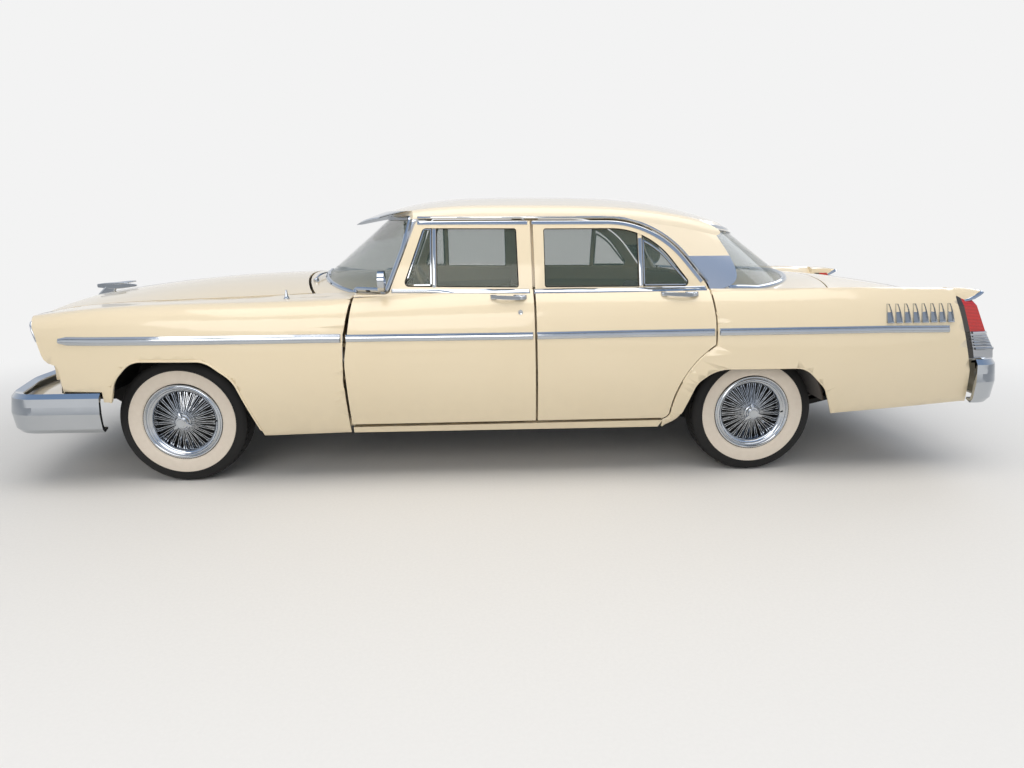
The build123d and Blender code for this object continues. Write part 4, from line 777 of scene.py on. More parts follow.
def spoke_row(name, hub, outer, lean, count, radius):
    """Wires from hub to rim with a nipple at the rim end, leaning one way and the other in turn."""
    wires = []
    for way in (1, -1):
        angle = math.radians(lean * way)
        shift = math.pi / count / 2 * way
        start = Vector((hub[0] * math.cos(shift), hub[1], hub[0] * math.sin(shift))) / 1000
        end = Vector((outer[0] * math.cos(shift + angle), outer[1], outer[0] * math.sin(shift + angle))) / 1000
        heading = (start - end).normalized()
        turn = heading.to_track_quat("Z", "Y").to_euler()
        nipple = barrel(name, radius * 1.5, 0.012, end + heading * 0.004, turn, 6)
        wire = start - end - heading * 0.010
        wires.append(worked(nipple, heading, ("inset", radius * 0.5), ("draw", *wire)))
    return around(joined(wires, name), count)


def spinner():
    """Domed nut with three swept ears."""
    piece = barrel("spinner", 0.0275, 0.012, (0, -0.1185, 0), ACROSS, 36)
    for angle in (100, 220, 340):
        way = Vector((math.cos(math.radians(angle)), 0, math.sin(math.radians(angle))))

        def ear(centre, normal, way=way):
            return normal.dot(way) > 0.93 and abs(normal.y) < 0.2 and 0.024 < centre.dot(way) < 0.029

        worked(piece, ear,
               ("draw", *(way * 0.016 + Vector((0, 0.003, 0)))), ("resize", 0.8, 0.75, 0.8),
               ("draw", *(way * 0.014 + Vector((0, 0.002, 0)))), ("resize", 0.55, 0.6, 0.55))
    worked(piece, lambda centre, normal: normal.y < -0.9 and math.hypot(centre.x, centre.z) < 0.004,
           ("inset", 0.0035), ("inset", 0.002, 0.0035), ("inset", 0.008, -0.0015))
    return rounded(outward(piece), 0.0022, 3, 28)


RIM_PROFILE = (
    (213.5, -91), (213, -95.5), (209.5, -98.5), (205.5, -98), (203, -94.5), (200, -91.5), (197, -92.5),
    (193.5, -95.5), (190, -96), (186.5, -93.5), (183.5, -89), (180, -87.5), (175, -84), (169, -76),
    (163.5, -64), (160.5, -48), (160, -20), (161, 30), (175, 44), (188, 52), (192, 60), (193, 80),
    (210, 84), (211, 82), (195.2, 77), (195, 58), (190, 48), (178, 39), (165.5, 27), (165, -30), (166, -50),
    (172, -66), (182, -80), (192, -86), (204, -88),
)
HUB_PROFILE = (
    (19.5, -50), (50, -52), (58, -60), (60, -66), (54, -80), (46, -90), (45, -97), (42, -101), (38, -103),
    (36, -108), (33, -112), (10, -113), (10, -70), (19.5, -66),
)
DRUM_PROFILE = (
    (20, 2), (60, -6), (120, -8), (138, -3), (150, 4), (161.5, 6), (161.5, 66), (151, 68), (151, 20),
    (20, 20),
)
TYRE_HALF = (
    (196, 76), (196.5, 84), (201, 86), (209, 87.5), (214.5, 91), (219, 96.5), (227, 100.4), (242, 102.4),
    (258, 103), (272, 103), (289, 101.6), (292, 101.2), (294, 102.4), (298, 101.8), (300, 100), (312, 97.2),
    (324, 93), (333, 88.2), (339.5, 83.5), (343.6, 79), (345.2, 73), (346.6, 64), (347.9, 52), (341, 50.5),
    (341, 45.5), (348.3, 44), (349.7, 20), (343, 18.5), (343, 13.5), (349.9, 12), (350, 0),
)
TYRE_CAVITY = (
    (204, 74), (226, 88), (272, 93), (310, 86), (328, 74), (334, 50), (336, 0), (334, -50), (328, -74),
    (310, -86), (272, -93), (226, -88), (204, -74),
)
WHITEWALL_PROFILE = (
    (213, -88.4), (215.4, -92), (220, -98), (228, -101.9), (242, -103.8), (258, -104.4), (272, -104.4),
    (287.5, -103.2), (290, -101.2), (286, -99), (272, -100.4), (258, -100.6), (242, -99.8), (229, -97.5),
    (220, -93),
)


def tyre():
    """Crossply tyre with five ribs, zigzag grooves between them and slots across the shoulders."""
    outer = [(r, -y) for r, y in TYRE_HALF] + [(r, y) for r, y in reversed(TYRE_HALF[:-1])]
    piece = spun("tyre_cover", outer + list(TYRE_CAVITY), 180)
    for vert in piece.data.vertices:
        radius = math.hypot(vert.co.x, vert.co.z)
        if radius > 0.3405 and abs(vert.co.y) < 0.053:
            turn = round(math.degrees(math.atan2(vert.co.z, vert.co.x)) / 2) % 4
            vert.co.y += (0.0026, 0, -0.0026, 0)[turn] if abs(vert.co.y) > 0.001 else 0

    def slot_face(centre, normal):
        third = int(math.degrees(math.atan2(centre.z, centre.x)) / 2) % 3 == 0
        return 0.054 < abs(centre.y) < 0.077 and math.hypot(centre.x, centre.z) > 0.343 and third

    return worked(piece, slot_face, ("inset", 0.0022, -0.0045))


def valve():
    """Rubber valve stem with its cap."""
    piece = barrel("valve", 0.004, 0.016, (0.178, -0.088, 0), (math.radians(62), 0, math.radians(90)), 12)
    worked(piece, lambda centre, normal: normal.y < -0.3 and centre.y < -0.09, ("inset", 0.001))
    return rounded(piece, 0.0008, 2, 40)


WHEEL_PIECES = (
    (spun("rim", RIM_PROFILE, 128), CHROME, "chrome", "wheel"),
    (spun("hub", HUB_PROFILE, 64), CHROME, "chrome", None),
    (spinner(), CHROME, "chrome", None),
    (spoke_row("spokes_outer", (42, -93), (162, -58), 1.0, 28, 0.0023), CHROME, "chrome", None),
    (spoke_row("spokes_inner", (48, -60), (162, -22), 6.0, 24, 0.0018), CHROME, "chrome", None),
    (spun("brake_drum", DRUM_PROFILE, 64), UNDERBODY, "black_paint", None),
    (valve(), SEAL, "tyre_rubber", None),
    (tyre(), TYRE_BLACK, "tyre_rubber", "tyre"),
    (spun("whitewall", WHITEWALL_PROFILE, 128), WHITEWALL, "tyre_rubber", None),
)
for _piece, _material, _slot, _node in WHEEL_PIECES:
    _first = _piece.name
    for _end, _x, _track in (("front", AXLE_FRONT, TRACK_FRONT), ("rear", AXLE_REAR, TRACK_REAR)):
        for _side, _way in (("left", -1), ("right", 1)):
            _name = f"{_first}_{_end}_{_side}"
            _made = copy_of(_piece, _name) if _way < 0 else mirrored(_piece, _name)
            _made.data.transform(Matrix.Translation((_x, _way * _track / 2, HUB_Z)))
            finish_piece(_made, f"wheel_{_end}_{_side}", _material, 30)
            if _node:
                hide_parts(f"{_node}_{_end}_{_side}")
    bpy.data.objects.remove(_piece)


# Door handles, lock and hood ornament

def shaped(piece, cuts, where):
    """Divides a piece evenly and moves each of its points to where the function says."""
    edit(piece)
    bpy.ops.mesh.subdivide(number_cuts=cuts)
    done(piece)
    for vert in piece.data.vertices:
        vert.co = where(vert.co.copy())
    piece.data.update()
    return piece


def moulded(name, cuts, where):
    """A unit block divided evenly, with each of its points moved to where the function says."""
    return shaped(block(name, (1, 1, 1), (0, 0, 0)), cuts, where)


def door_handle(name, carrier, x0, x1, z):
    """Cast pull handle that stands off the door, with its push button and two feet."""
    half = (x1 - x0) / 2000
    centre = flank(carrier, (x0 + x1) / 2, z)

    def grip(p):
        u = (p.x - centre.x) / half
        bow = (1 - u ** 4) * 0.024 + 0.010
        thin = 1 - 0.45 * abs(u) ** 3
        lift = (p.z - centre.z) * thin - 0.004 * u
        return Vector((p.x, centre.y - bow + (p.y - centre.y) * thin, centre.z + lift))

    bar = shaped(block(name, (2 * half, 0.013, 0.021), centre), 9, grip)
    pieces = [outward(rounded(bar, 0.0045, 3, 50))]
    for x, length in ((x0 + 14, 0.040), (x1 - 34, 0.078)):
        foot = block(name + "_foot", (length, 0.022, 0.030), flank(carrier, x, z) + Vector((0, -0.008, -0.001)))
        worked(foot, OUT, ("resize", 0.7, 1, 0.62))
        pieces.append(rounded(foot, 0.006, 3, 30))
    spot = flank(carrier, x1 - 26, z) + Vector((0, -0.024, 0))
    button = barrel(name + "_button", 0.0095, 0.03, spot, ACROSS, 28)
    worked(button, OUT, ("inset", 0.002), ("draw", 0, -0.002, 0))
    return joined([*pieces, rounded(button, 0.001, 2, 40)], name)


both(door_handle("handle_front_left", "front_door_left", 107, 296, 1031), "front_door_left", CHROME)
both(door_handle("handle_rear_left", "rear_door_left", 1027, 1227, 1040), "rear_door_left", CHROME)

_lock = barrel("lock_front_left", 0.0125, 0.012, flank("front_door_left", 262, 955), ACROSS, 32)
worked(_lock, OUT, ("inset", 0.0035), ("move", 0, 0.0015, 0), ("inset", 0.006, -0.001))
both(rounded(_lock, 0.001, 2, 40), "front_door_left", CHROME)


def hood_ornament():
    """Cast figure: a body that rises to the rear out of a pointed prow, with two swept wings."""
    top = touch(["hood"], at(-2165, 1300), DOWN)[0].z
    base = touch(["hood"], at(-2330, 1300), DOWN)[0].z
    length = 0.247

    def torso(p):
        u = (p.x - at(-2404, 0).x) / length
        width = 0.006 + 0.028 * math.sin(math.pi * min(1, u * 1.05)) ** 1.3 * (0.6 + 0.4 * u)
        height = 0.010 + 0.030 * math.sin(math.pi * min(1, 0.12 + u * 0.86))
        middle = base + 0.050 + (top + 0.016 - base - 0.050) * u ** 0.8
        return Vector((p.x, p.y * width, middle + p.z * height))

    def stem(p):
        u = p.z + 0.5
        x = at(-2356 + 48 * u, 0).x
        return Vector((x + p.x * (0.10 - 0.04 * u), p.y * 0.018, base - 0.006 + u * 0.064))

    body = shaped(block("ornament", (length, 1, 1), (at(-2280.5, 0).x, 0, 0)), 11, torso)
    parts = [body, moulded("ornament_foot", 5, stem)]
    for way in (1, -1):
        def wing(p, way=way):
            u = p.y + 0.5
            x = at(-2300 + 92 * u, 0).x + p.x * (0.11 - 0.075 * u)
            return Vector((x, way * (0.010 + 0.068 * u), base + 0.062 + 0.010 * u + p.z * 0.007))

        parts.append(moulded("ornament_wing", 5, wing))
    return joined([outward(modify(part, "SUBSURF", levels=1)) for part in parts], "hood_ornament")


finish_piece(hood_ornament(), "hood", CHROME, 50)


def fender_stud():
    """Small cast cone on a round flange, on top of the left fender."""
    spot = touch(["front_fender_left"], at(-1000, 1300, -800), DOWN)[0]
    piece = barrel("fender_stud", 0.017, 0.006, spot + Vector((0, 0, 0.001)), sides=28)
    steps = []
    for inset, rise in ((0.004, 0.001), (0.0035, 0.012), (0.003, 0.016), (0.002, 0.014)):
        steps += [("inset", inset), ("move", 0, 0, rise)]
    return rounded(worked(piece, UP, *steps), 0.0012, 2, 40)


finish_piece(fender_stud(), "body_shell", CHROME)


# Louvre ornaments on the quarter panels

def louvre(x):
    """Hollow-faced chrome pressing that tapers upwards."""
    low, high = 878, 978

    def shell(p):
        u = p.z + 0.5
        side = x - 5 * u + p.x * 38 * (1 - 0.62 * u ** 1.4)
        bulge = 0.016 * (1 - 0.5 * u)
        spot = flank("rear_body", side, low + (high - low) * u)
        return spot + Vector((0, (p.y - 0.5) * bulge + 0.003, 0))

    piece = moulded("louvre", 5, shell)
    worked(piece, lambda centre, normal: normal.y < -0.5, ("inset", 0.0040), ("move", 0, 0.0085, 0))
    return rounded(outward(piece), 0.0013, 2, 35)


both(joined([louvre(2284 + 50 * k) for k in range(8)], "louvres_left"), "body_shell", CHROME_PAINTED_SHADE)


# Wipers and their pivots at the foot of the windscreen

def wiper(name, pivot_y, way):
    """Arm and blade lying along the foot of the windscreen."""
    screen = ["windscreen", "roof"]
    pivot = touch(["cowl"], Vector((at(-985 + abs(pivot_y) * 160, 0).x, pivot_y, 1.5)), DOWN)[0]
    cap = barrel(name, 0.016, 0.022, pivot + Vector((0, 0, 0.006)), (0, math.radians(-18), 0), 24)
    worked(cap, UP, ("inset", 0.005), ("move", 0, 0, 0.005))
    cap = rounded(cap, 0.002, 2, 30)
    hits = []
    for share in (0.35, 0.62, 1.0):
        start = Vector((-3, pivot_y + way * 0.33 * share, pivot.z + 0.018 + 0.030 * share))
        hits.append(touch(screen, start, BACK)[0] + Vector((-0.020, 0, 0.004)))
    start = pivot + Vector((0, 0, 0.014))

    def along_arm(p):
        u = p.y + 0.5
        bend = math.sin(math.pi * u)
        spot = start.lerp(hits[1], u) + Vector((-0.010 * bend, 0, 0.006 * bend))
        return spot + Vector((p.x * 0.006, 0, p.z * (0.014 - 0.008 * u)))

    def along_blade(p):
        spot = hits[0].lerp(hits[2], p.y + 0.5)
        middle = touch(screen, Vector((-3, spot.y, spot.z)), BACK)[0]
        return Vector((middle.x - 0.008 + p.x * 0.012, spot.y, spot.z + p.z * 0.007))

    arm = outward(moulded(name + "_arm", 7, along_arm))
    blade = outward(moulded(name + "_blade", 7, along_blade))
    return joined([outward(cap), arm, blade], name)


finish_piece(wiper("wiper_left", -0.42, 1), "body_shell", CHROME)
finish_piece(wiper("wiper_right", 0.42, -1), "body_shell", CHROME)


# Nose and tail

def lofted(name, loops):
    """A closed solid through loops of points, each loop going round the section the same way."""
    rows, count = len(loops), len(loops[0])
    deselect()
    bpy.ops.mesh.primitive_grid_add(x_subdivisions=rows - 1, y_subdivisions=count, size=1)
    piece = take(name)
    for vert in piece.data.vertices:
        i = round((vert.co.x + 0.5) * (rows - 1))
        j = round((vert.co.y + 0.5) * count) % count
        vert.co = loops[i][j]
    edit(piece)
    bpy.ops.mesh.remove_doubles(threshold=FINE_MERGE)
    bpy.ops.mesh.fill_holes(sides=count + 1)
    bpy.ops.mesh.normals_make_consistent(inside=False)
    return done(piece)


# The fender's front is drawn back under the lamp
NOSE_CUT = (
    (-2303, 905), (-2290, 849), (-2279, 814), (-2262, 745), (-2252, 722), (-2231, 703), (-2205, 694),
    (-2187, 686), (-2180, 668), (-2177, 640), (-2173, 590), (-2172, 540),
)
NOSE_X = -2392
SHELF_Z = 541
LAMP_SIDE = 612
APRON_COLUMNS = 9


def nose_bow(y):
    """How far the nose's lower edge falls back at a distance from the middle."""
    return 26 * (y / LAMP_SIDE) ** 2 + max(0, abs(y) - LAMP_SIDE) * 0.5


def nose_apron():
    """Pressed panel that closes the fender below the lamp."""
    rows = [(-2306, 915)] + list(NOSE_CUT)
    inner = -603
    front = [[at(NOSE_X, z, inner) for _, z in rows] + [at(NOSE_X, SHELF_Z, inner)]]
    for k in range(APRON_COLUMNS):
        share = k / (APRON_COLUMNS - 1)
        line = []
        for x, z in rows:
            outer = flank("front_fender_left", x + 6, max(z, 556)).y * 1000 + 2
            y = inner + (outer - inner) * share
            line.append(at(x + 1 - 12 * math.sin(math.pi * share), z, y))
        front.append(line + [at(min(NOSE_X + nose_bow(y), -2180), SHELF_Z, y)])
    loops = []
    for k, line in enumerate(front):
        back = Vector((0.004, 0.003 if k < 2 else 0, 0.002))
        loops.append(line + [p + back for p in reversed(line)])
    return lofted("nose_apron_left", loops)


both(nose_apron(), "body_shell", CREAM)

LAMP_RING = (
    (83, -14), (85, -22), (90, -29), (96, -30), (101, -25), (103, -14), (101, 2), (97, 4), (96, -6), (90, -12),
)
_ring = spun("lamp_ring_left", LAMP_RING, 64)
_ring.data.transform(Matrix.Translation(at(-2280, 826, -762)) @ Matrix.Rotation(-math.pi / 2, 4, "Z"))
both(_ring, "body_shell", CHROME)

# Parking lamp in a bright bezel on the apron
_bezel = block("park_bezel_left", (0.016, 0.150, 0.066), at(-2190, 610, -785))
worked(_bezel, AHEAD, ("inset", 0.008), ("move", 0.007, 0, 0))
both(rounded(_bezel, 0.004, 3, 30), "body_shell", CHROME)
_lens = block("park_glass_left", (0.018, 0.130, 0.046), at(-2192, 610, -785))
worked(_lens, AHEAD, ("resize", 1, 0.9, 0.8))
both(rounded(_lens, 0.006, 3, 30), "body_shell", LAMP_GLASS)

# Valance between the grille and the bumper
NOSE_COLUMNS = [-900 + 75 * k for k in range(25)]
_loops = []
for _y in NOSE_COLUMNS:
    _bow = nose_bow(_y)
    _top = 574 if abs(_y) < LAMP_SIDE else 543
    _front = [(-2396 + _bow, _top), (-2392 + _bow, 520), (-2366 + _bow, 470), (-2330 + _bow, 420)]
    _loops.append([at(x, z, _y) for x, z in _front] + [at(x + 5, z + 1, _y) for x, z in reversed(_front)])
finish_piece(lofted("valance", _loops), "body_shell", CREAM)

# Splash pan between the front bumper and the valance
_loops = []
for _y in NOSE_COLUMNS:
    _x = -2388 + nose_bow(_y)
    _found = touch(["front_bumper"], at(_x, 470, _y), AHEAD)
    _far = _found[0].x + 0.001 if _found else at(_x - 20, 470).x
    _line = [Vector((_far, _y / 1000, 0.474)), at(_x, 522, _y)]
    _loops.append(_line + [p - Vector((0, 0, 0.003)) for p in reversed(_line)])
finish_piece(lofted("splash_pan", _loops), "body_shell", CREAM)

# Bright brow of the lamp's bezel, along the fender's front edge
BROW = (
    (-2301, 928, 2), (-2306, 916, 6), (-2304, 900, 7), (-2296, 872, 7), (-2289, 849, 7), (-2281, 820, 6),
    (-2277, 808, 2),
)
_turns = [math.tau * k / 12 for k in range(12)]
_loops = []
for _x, _z, _r in BROW:
    _y = flank("front_fender_left", _x + 12, _z).y * 1000 + 6
    _loops.append([at(_x + _r * math.cos(a), _z, _y + _r * math.sin(a)) for a in _turns])
both(lofted("lamp_brow_left", _loops), "body_shell", CHROME, 50)

# Fin caps with their bright tips, as rows of place, foot, crest and taper
FIN_CAP = (
    (2655, 980, 1056.5, 0), (2720, 983, 1056, 0), (2778, 1000, 1053, 3), (2812, 1026, 1047, 8),
    (2836, 1040, 1041, 13),
)
FIN_TIP = (
    (2724, 981, 992, 0), (2766, 987, 1017, 1), (2798, 994, 1034, 3), (2832, 1012, 1045, 9),
    (2852, 1025, 1041, 15), (2860, 1030, 1036, 22),
)


def fin_section(x, low, high, taper, out):
    """Section of the fin across the car, from its lower outer corner round to the inner one."""
    wide = 892 - taper
    crest = 868 - 0.6 * taper
    tall = high - low
    return [at(x, low, -wide - out), at(x, low + 0.45 * tall, -wide + 4 - out),
            at(x, high - 0.22 * tall, -crest - 8), at(x, high - 0.04 * tall, -crest + 2),
            at(x, high, -crest + 18), at(x, high - 0.03 * tall, -822), at(x, high - 0.15 * tall, -790),
            at(x, low, -782)]


for _name, _rows, _out, _material, _slot in (
    ("fin_cap_left", FIN_CAP, 0, CREAM, "body_paint"),
    ("fin_tip_left", FIN_TIP, 3, CHROME, "chrome"),
):
    both(outward(lofted(_name, [fin_section(*row, _out) for row in _rows])), "body_shell", _material, 40)

# Bright plates and ribs round the lower part of the tail lamps, from height, rear edge and outer half width
POD = ((1012, 2772, 893), (960, 2812, 921), (818, 2866, 944), (724, 2921, 948), (668, 2930, 946))


def pod_at(z):
    """Rear edge and outer half width of the lamp housing at a height."""
    for (z1, r1, o1), (z0, r0, o0) in zip(POD, POD[1:]):
        if z0 <= z <= z1:
            u = (z - z0) / (z1 - z0)
            return r0 + (r1 - r0) * u, o0 + (o1 - o0) * u
    return POD[-1][1:]


def pod_band(low, high, proud):
    """Plate that wraps the outer and rear faces of the housing."""
    loops = []
    for z, grow in ((low, proud - 2), (low + 2, proud), (high - 2, proud), (high, proud - 2)):
        rear, outer = pod_at(z)
        front = 2772 + POD_LEAN * (818 - z)
        line = [(front, -outer - grow), (rear - 16, -outer - grow + 8), (rear + grow - 4, -outer + 24),
                (rear + grow, -outer + 40), (rear + grow, -786), (rear - 20, -780), (front + 10, -782)]
        loops.append([at(x, z, y) for x, y in line])
    return lofted("pod_band", loops)


_bands = [pod_band(808, 821, 9), pod_band(718, 731, 10)]
_bands += [pod_band(z, z + 9, 4) for z in (740, 756, 772, 788)]
both(joined(_bands, "pod_bands_left"), "body_shell", CHROME, 40)

# Blank plate on the deck lid
_spot, _normal = touch(["deck_lid"], at(3300, 772, 0), AHEAD)
_plate = block("plate_rear", (0.300, 0.0016, 0.150), (0, 0, 0))
worked(_plate, OUT, ("inset", 0.005), ("inset", 0.0015, -0.0006))
_plate = rounded(_plate, 0.0005, 1, 40)
_plate.data.transform(Matrix.Translation(_spot + 0.003 * _normal) @ Matrix.Rotation(math.pi / 2, 4, "Z"))
finish_piece(_plate, "deck_lid", POLISHED)


# Seats: each bench is drawn as a soft block, then filled by a cloth simulation under pressure

FILLING = {
    "quality": 4, "mass": 0.3, "tension_stiffness": 12, "compression_stiffness": 12, "shear_stiffness": 5,
    "bending_stiffness": 0.6, "use_pressure": True, "uniform_pressure_force": 4, "vertex_group_mass": "pinned",
}
FRAMES = 14
SWELL = 0.014
PLEAT = 0.09
SEAM = 0.009


def fold(distance):
    """How deep a stitched line is drawn in at a distance from it, as a share."""
    return math.exp(-(distance / SEAM) ** 2)


def bench(node_name, name, front_x, back_x, top_z):
    """Bench seat with a pleated insert and a border roll along its front and its sides."""
    piece = outward(loose_copy(node_name, name))
    piece = modify(piece, "REMESH", mode="VOXEL", voxel_size=0.016)
    piece = modify(piece, "DISPLACE", strength=-0.007, mid_level=0.0)
    start = [vert.co.copy() for vert in piece.data.vertices]
    pinned = piece.vertex_groups.new(name="pinned")
    pinned.add([vert.index for vert in piece.data.vertices if vert.co.z < 0.375], 1.0, "ADD")
    only(piece)
    cloth = piece.modifiers.new("Filling", "CLOTH")
    for key, value in FILLING.items():
        setattr(cloth.settings, key, value)
    cloth.settings.effector_weights.gravity = 0
    cloth.point_cache.frame_start = 1
    cloth.point_cache.frame_end = FRAMES
    for moment in range(1, FRAMES + 1):
        bpy.context.scene.frame_set(moment)
    bpy.ops.object.modifier_apply(modifier=cloth.name)
    bpy.context.scene.frame_set(1)
    for vert, rest in zip(piece.data.vertices, start):
        step = vert.co - rest
        if step.length > SWELL:
            vert.co = rest + step * (SWELL / step.length)
    piece.data.update()
    normals = [vert.normal.copy() for vert in piece.data.vertices]
    for vert, normal in zip(piece.data.vertices, normals):
        x, y, z = vert.co
        depth = 0.0
        on_cushion = normal.z > 0.6 and front_x + 0.06 < x < back_x - 0.02 and z < 0.70
        on_back = normal.x < -0.5 and 0.62 < z < top_z - 0.06
        if (on_cushion or on_back) and abs(y) < 0.575:
            depth = 0.008 * fold((y + PLEAT / 2) % PLEAT - PLEAT / 2)
        if normal.z > 0.6 and z < 0.70 and abs(x - front_x - 0.05) < 0.02 and abs(y) < 0.60:
            depth = max(depth, 0.009 * fold(x - front_x - 0.05))
        if (on_cushion or on_back) and abs(abs(y) - 0.585) < 0.02:
            depth = max(depth, 0.009 * fold(abs(y) - 0.585))
        vert.co = vert.co - normal * depth
    piece.data.update()
    piece = modify(piece, "SUBSURF", levels=1)
    finish_piece(piece, "body_shell", SEAT_RED, 60)
    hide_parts(node_name)


bench("front_seat", "front_bench", -0.417, 0.05, 0.96)
bench("rear_seat", "rear_bench", 0.434, 0.90, 1.0)


# Cabin fittings

def towards(piece, spot, way):
    """Turns a piece made about the Y axis, whose face looks along -Y, to look along way from spot."""
    turn = OUT.rotation_difference(Vector(way))
    piece.data.transform(Matrix.Translation(spot) @ turn.to_matrix().to_4x4())
    return piece


def dash_spot(y, z):
    """Place and outward way of the instrument panel's face, seen from the seats."""
    return touch(["dashboard"], Vector((0.6, y, z)), AHEAD)


DIAL_RING = ((30, 0), (30, -3), (33, -6.5), (38, -7), (41, -4), (41.5, 0), (38, 1.5))
DIAL_FACE = ((0.3, -1.2), (12, -1.2), (29, -0.8), (31, -0.8), (31, 1.2), (0.3, 1.2))
DIAL_CAP = ((0.3, -4.5), (3.6, -3.8), (4.6, -1.5), (4.6, 0), (0.3, 0))
DIALS = ((-0.47, 1.35), (-0.355, 1.0), (-0.26, 1.0), (-0.575, 1.0), (0.05, 1.35))
KNOB = ((0.3, -17), (6, -17), (8.5, -15), (9, -11), (7, -8), (4, -6), (3.5, 0), (0.3, 0))
_rings, _faces, _caps = [], [], []
for _y, _size in DIALS:
    _spot, _way = dash_spot(_y, 0.905)
    _front = _spot + _way * 0.0005
    for _kind, _profile, _list in (
        ("ring", DIAL_RING, _rings),
        ("face", DIAL_FACE, _faces),
        ("cap", DIAL_CAP, _caps),
    ):
        _dial = spun("dial_" + _kind, [(r * _size, y) for r, y in _profile], 48)
        _list.append(towards(_dial, _front, _way))
    _needle = block("needle", (0.0016, 0.001, 0.026 * _size), (0, -0.0026, 0.011 * _size))
    worked(_needle, UP, ("resize", 0.3, 1, 1))
    _needle.data.transform(Matrix.Rotation(math.radians(-50 + 300 * _y), 4, "Y"))
    _caps.append(towards(_needle, _front, _way))
finish_piece(joined(_rings, "dial_rings"), "body_shell", CHROME)
finish_piece(joined(_faces, "dial_faces"), "body_shell", DIAL_BLACK)
finish_piece(joined(_caps, "dial_needles"), "body_shell", IVORY)

KNOB_PLACES = (-0.68, -0.14, -0.09, 0.17, 0.22, 0.27, 0.62)
_knobs = [towards(spun("knob", KNOB, 24), *dash_spot(y, 0.875)) for y in KNOB_PLACES]
finish_piece(joined(_knobs, "dash_knobs"), "body_shell", CHROME)

# Louvred wireless grille between the dials and the glove box lid
_slats = []
for _k in range(9):
    _spot, _way = dash_spot(0.17, 0.895 + 0.006 * _k)
    _slat = block("slat", (0.004, 0.15, 0.0026), _spot + _way * 0.002)
    _slats.append(rounded(_slat, 0.0009, 2, 40))
finish_piece(joined(_slats, "wireless_grille"), "body_shell", CHROME)
_spot, _way = dash_spot(0.48, 0.905)
_lid = block("glove_lid", (0.006, 0.26, 0.085), _spot + _way * 0.001)
worked(_lid, BACK, ("inset", 0.006), ("inset", 0.002, 0.0015))
finish_piece(rounded(_lid, 0.0018, 3, 40), "body_shell", DASH)

# Horn ring on the steering wheel, square to its column
COLUMN_START = at(-848, 668, -370)
COLUMN_END = at(-262, 960, -370)
HORN_BUTTON = ((0.3, -15), (16, -14), (27, -11), (33, -5), (34, 0), (0.3, 0))
_way = (COLUMN_END - COLUMN_START).normalized()
_turns = [math.tau * k / 10 for k in range(10)]
_horn = [spun("horn_ring", [(108 + 4.2 * math.cos(a), 4.2 * math.sin(a)) for a in _turns], 72)]
_horn.append(spun("horn_button", HORN_BUTTON, 48))
for _angle in (25, 155):
    _bar = rounded(block("horn_bar", (0.082, 0.005, 0.010), (0.070, 0, 0)), 0.0018, 2, 40)
    _bar.data.transform(Matrix.Rotation(math.radians(_angle), 4, "Y"))
    _horn.append(_bar)
_horn = towards(joined(_horn, "horn_ring"), COLUMN_END + _way * 0.046, _way)
finish_piece(_horn, "steering_wheel", CHROME)

# Column stalk and pedals
_lever = barrel("column_lever", 0.0042, 0.19, (0, 0, 0), sides=16)
worked(_lever, UP, ("draw", 0, 0, 0.004), ("resize", 2.2, 2.2, 1),
       ("draw", 0, 0, 0.018), ("resize", 0.75, 0.75, 1))
rounded(_lever, 0.0015, 2, 40)
_turn = UP.rotation_difference(Vector((0.25, 1, 0.35))).to_matrix().to_4x4()
_lever.data.transform(Matrix.Translation(COLUMN_END - _way * 0.045 + Vector((0, 0.105, 0.035))) @ _turn)
finish_piece(_lever, "body_shell", CHROME)
_pads = []
for _y, _wide in ((-440, 0.11), (-280, 0.055)):
    _spot = at(-765, 470, _y)
    _pad = block("pedal", (0.012, _wide, 0.085), _spot)
    _turn = Matrix.Rotation(math.radians(-38), 4, "Y")
    _pad.data.transform(Matrix.Translation(_spot) @ _turn @ Matrix.Translation(-_spot))
    _pads.append(rounded(_pad, 0.004, 3, 40))
    _rod = barrel("pedal_rod", 0.007, 0.24, at(-800, 560, _y), (0, math.radians(-18), 0), 12)
    _pads.append(rounded(_rod, 0.001, 1, 40))
finish_piece(joined(_pads, "pedals"), "body_shell", UNDERBODY)
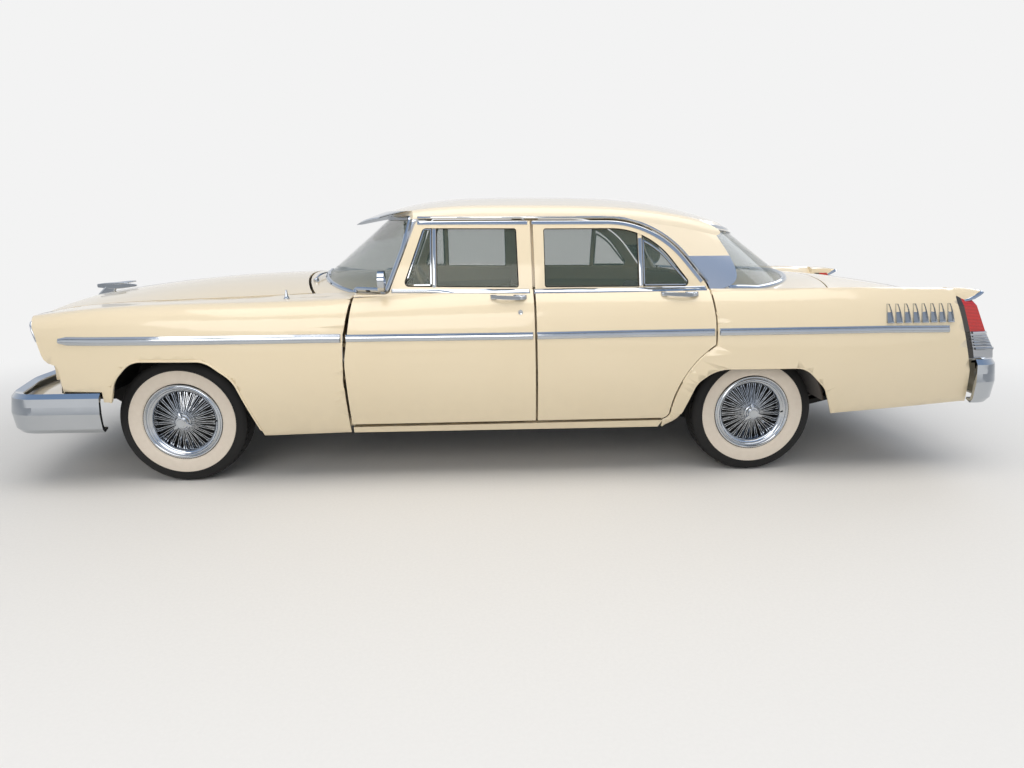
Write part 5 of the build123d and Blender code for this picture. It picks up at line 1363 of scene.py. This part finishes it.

# Door cards: padded panels with a handle, a winder and an armrest
CRANK = ((0.3, -14), (12, -13), (15, -8), (16, 0), (0.3, 0))
CRANK_KNOB = ((0.3, -34), (8, -33), (10, -28), (8, -20), (5, -16), (0.3, -16))
for _part, _x0, _x1 in (("front", -560, 290), ("rear", 380, 1120)):
    _door = _part + "_door_left"
    _middle = (_x0 + _x1) / 2
    _y = 1000 * touch([_door], at(_middle, 700, 0), OUT)[0].y
    _card = block(f"door_card_{_part}_left", ((_x1 - _x0) / 1000, 0.010, 0.58), at(_middle, 700, _y + 6))
    worked(_card, SIDE, ("inset", 0.05), ("inset", 0.006, -0.003), ("inset", 0.010, 0.006))
    both(rounded(_card, 0.0025, 2, 35), _door, SEAT_RED)
    _rest = block(f"armrest_{_part}_left", (0.28, 0.05, 0.055), at(_middle + 30, 690, _y + 34))
    worked(_rest, SIDE, ("resize", 0.84, 1, 0.7))
    both(modify(rounded(_rest, 0.012, 4, 30), "SUBSURF", levels=1), _door, SEAT_DARK, 60)
    _crank = spun("crank", CRANK, 32)
    _arm = block("crank_arm", (0.095, 0.006, 0.013), (0.045, -0.014, 0))
    worked(_arm, BACK, ("resize", 1, 0.8, 0.65))
    _knob = spun("crank_knob", CRANK_KNOB, 24)
    _knob.data.transform(Matrix.Translation((0.086, 0, 0)))
    _set = joined([_crank, rounded(_arm, 0.002, 2, 40), _knob], f"winder_{_part}_left")
    both(towards(_set, at(_x0 + 230, 800, _y + 11), SIDE), _door, CHROME)
    _pull = block(f"door_pull_{_part}_left", (0.13, 0.012, 0.018), at(_x1 - 150, 860, _y + 34))
    for _end in (AHEAD, BACK):
        worked(_pull, _end, ("draw", 0.018 * _end.x, -0.024, 0))
    both(rounded(outward(_pull), 0.004, 3, 30), _door, CHROME)

# Inner mirror on its stem, under the roof's edge
_top = touch(["roof"], at(-420, 1250, 0), UP)[0]
_stem = barrel("inner_mirror_stem", 0.006, 0.07, _top + Vector((0, 0, -0.034)), (0, math.radians(12), 0), 16)
_glass = block("inner_mirror", (0.022, 0.20, 0.055), _top + Vector((0.004, 0, -0.085)))
worked(_glass, AHEAD, ("resize", 1, 0.82, 0.7))
_mirror = joined([rounded(_glass, 0.006, 3, 30), rounded(_stem, 0.001, 1, 40)], "inner_mirror")
finish_piece(_mirror, "body_shell", CHROME)

# Bright ends on the tail pipes
PIPE_END = ((24.4, -16), (27, -17), (29, -14), (29.5, 60), (27.5, 61), (24.4, 12))
for _name, _y in (("tail_pipe_end_left", -300), ("tail_pipe_end_right", 300)):
    _end = touch(["exhaust"], at(3300, 300, _y), AHEAD)[0].x
    _tip = towards(spun(_name, PIPE_END, 40), Vector((_end, _y / 1000, 0.3)), BACK)
    finish_piece(_tip, "body_shell", CHROME)


# The cut fender panels and quarters stand for the CAD ones, after everything that is laid on those

def cut_copy(node_name, name, cutter):
    """A CAD node's copy with a cutter taken out of it."""
    piece = outward(loose_copy(node_name, name))
    modify(piece, "BOOLEAN", object=cutter, operation="DIFFERENCE", solver="EXACT")
    bpy.data.objects.remove(cutter)
    return outward(piece)


_section = [(-2700, 540), *reversed(NOSE_CUT), (-2700, 905)]
_cutter = lofted("nose_cutter", [[at(x, z, y) for x, z in _section] for y in (-1100, -560)])
_cutter = joined([_cutter, block("leg_cutter", (0.30, 0.60, 0.22), at(-2050, 380, -860))], "nose_cutter")
_skin = cut_copy("front_fender_left", "fender_panel_left", _cutter)
_twin = mirrored(_skin, "fender_panel_right")
_cutter = joined([block("tooth_cutter", (0.075, 2.4, 0.20), at(2014, 264, 0)),
                  block("tooth_cutter_front", (0.060, 2.4, 0.10), at(1070, 246, 0))], "tooth_cutter")
_quarters = cut_copy("rear_body", "quarter_panels", _cutter)
for _piece, _node in ((_skin, "front_fender_left"), (_twin, "front_fender_right"), (_quarters, "rear_body")):
    smooth(_piece, 32)
    modify(_piece, "WEIGHTED_NORMAL", weight=50, keep_sharp=True)
    _piece.data.materials.clear()
    _piece.data.materials.append(CREAM)
    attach(_piece, "body_shell")
    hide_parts(_node)
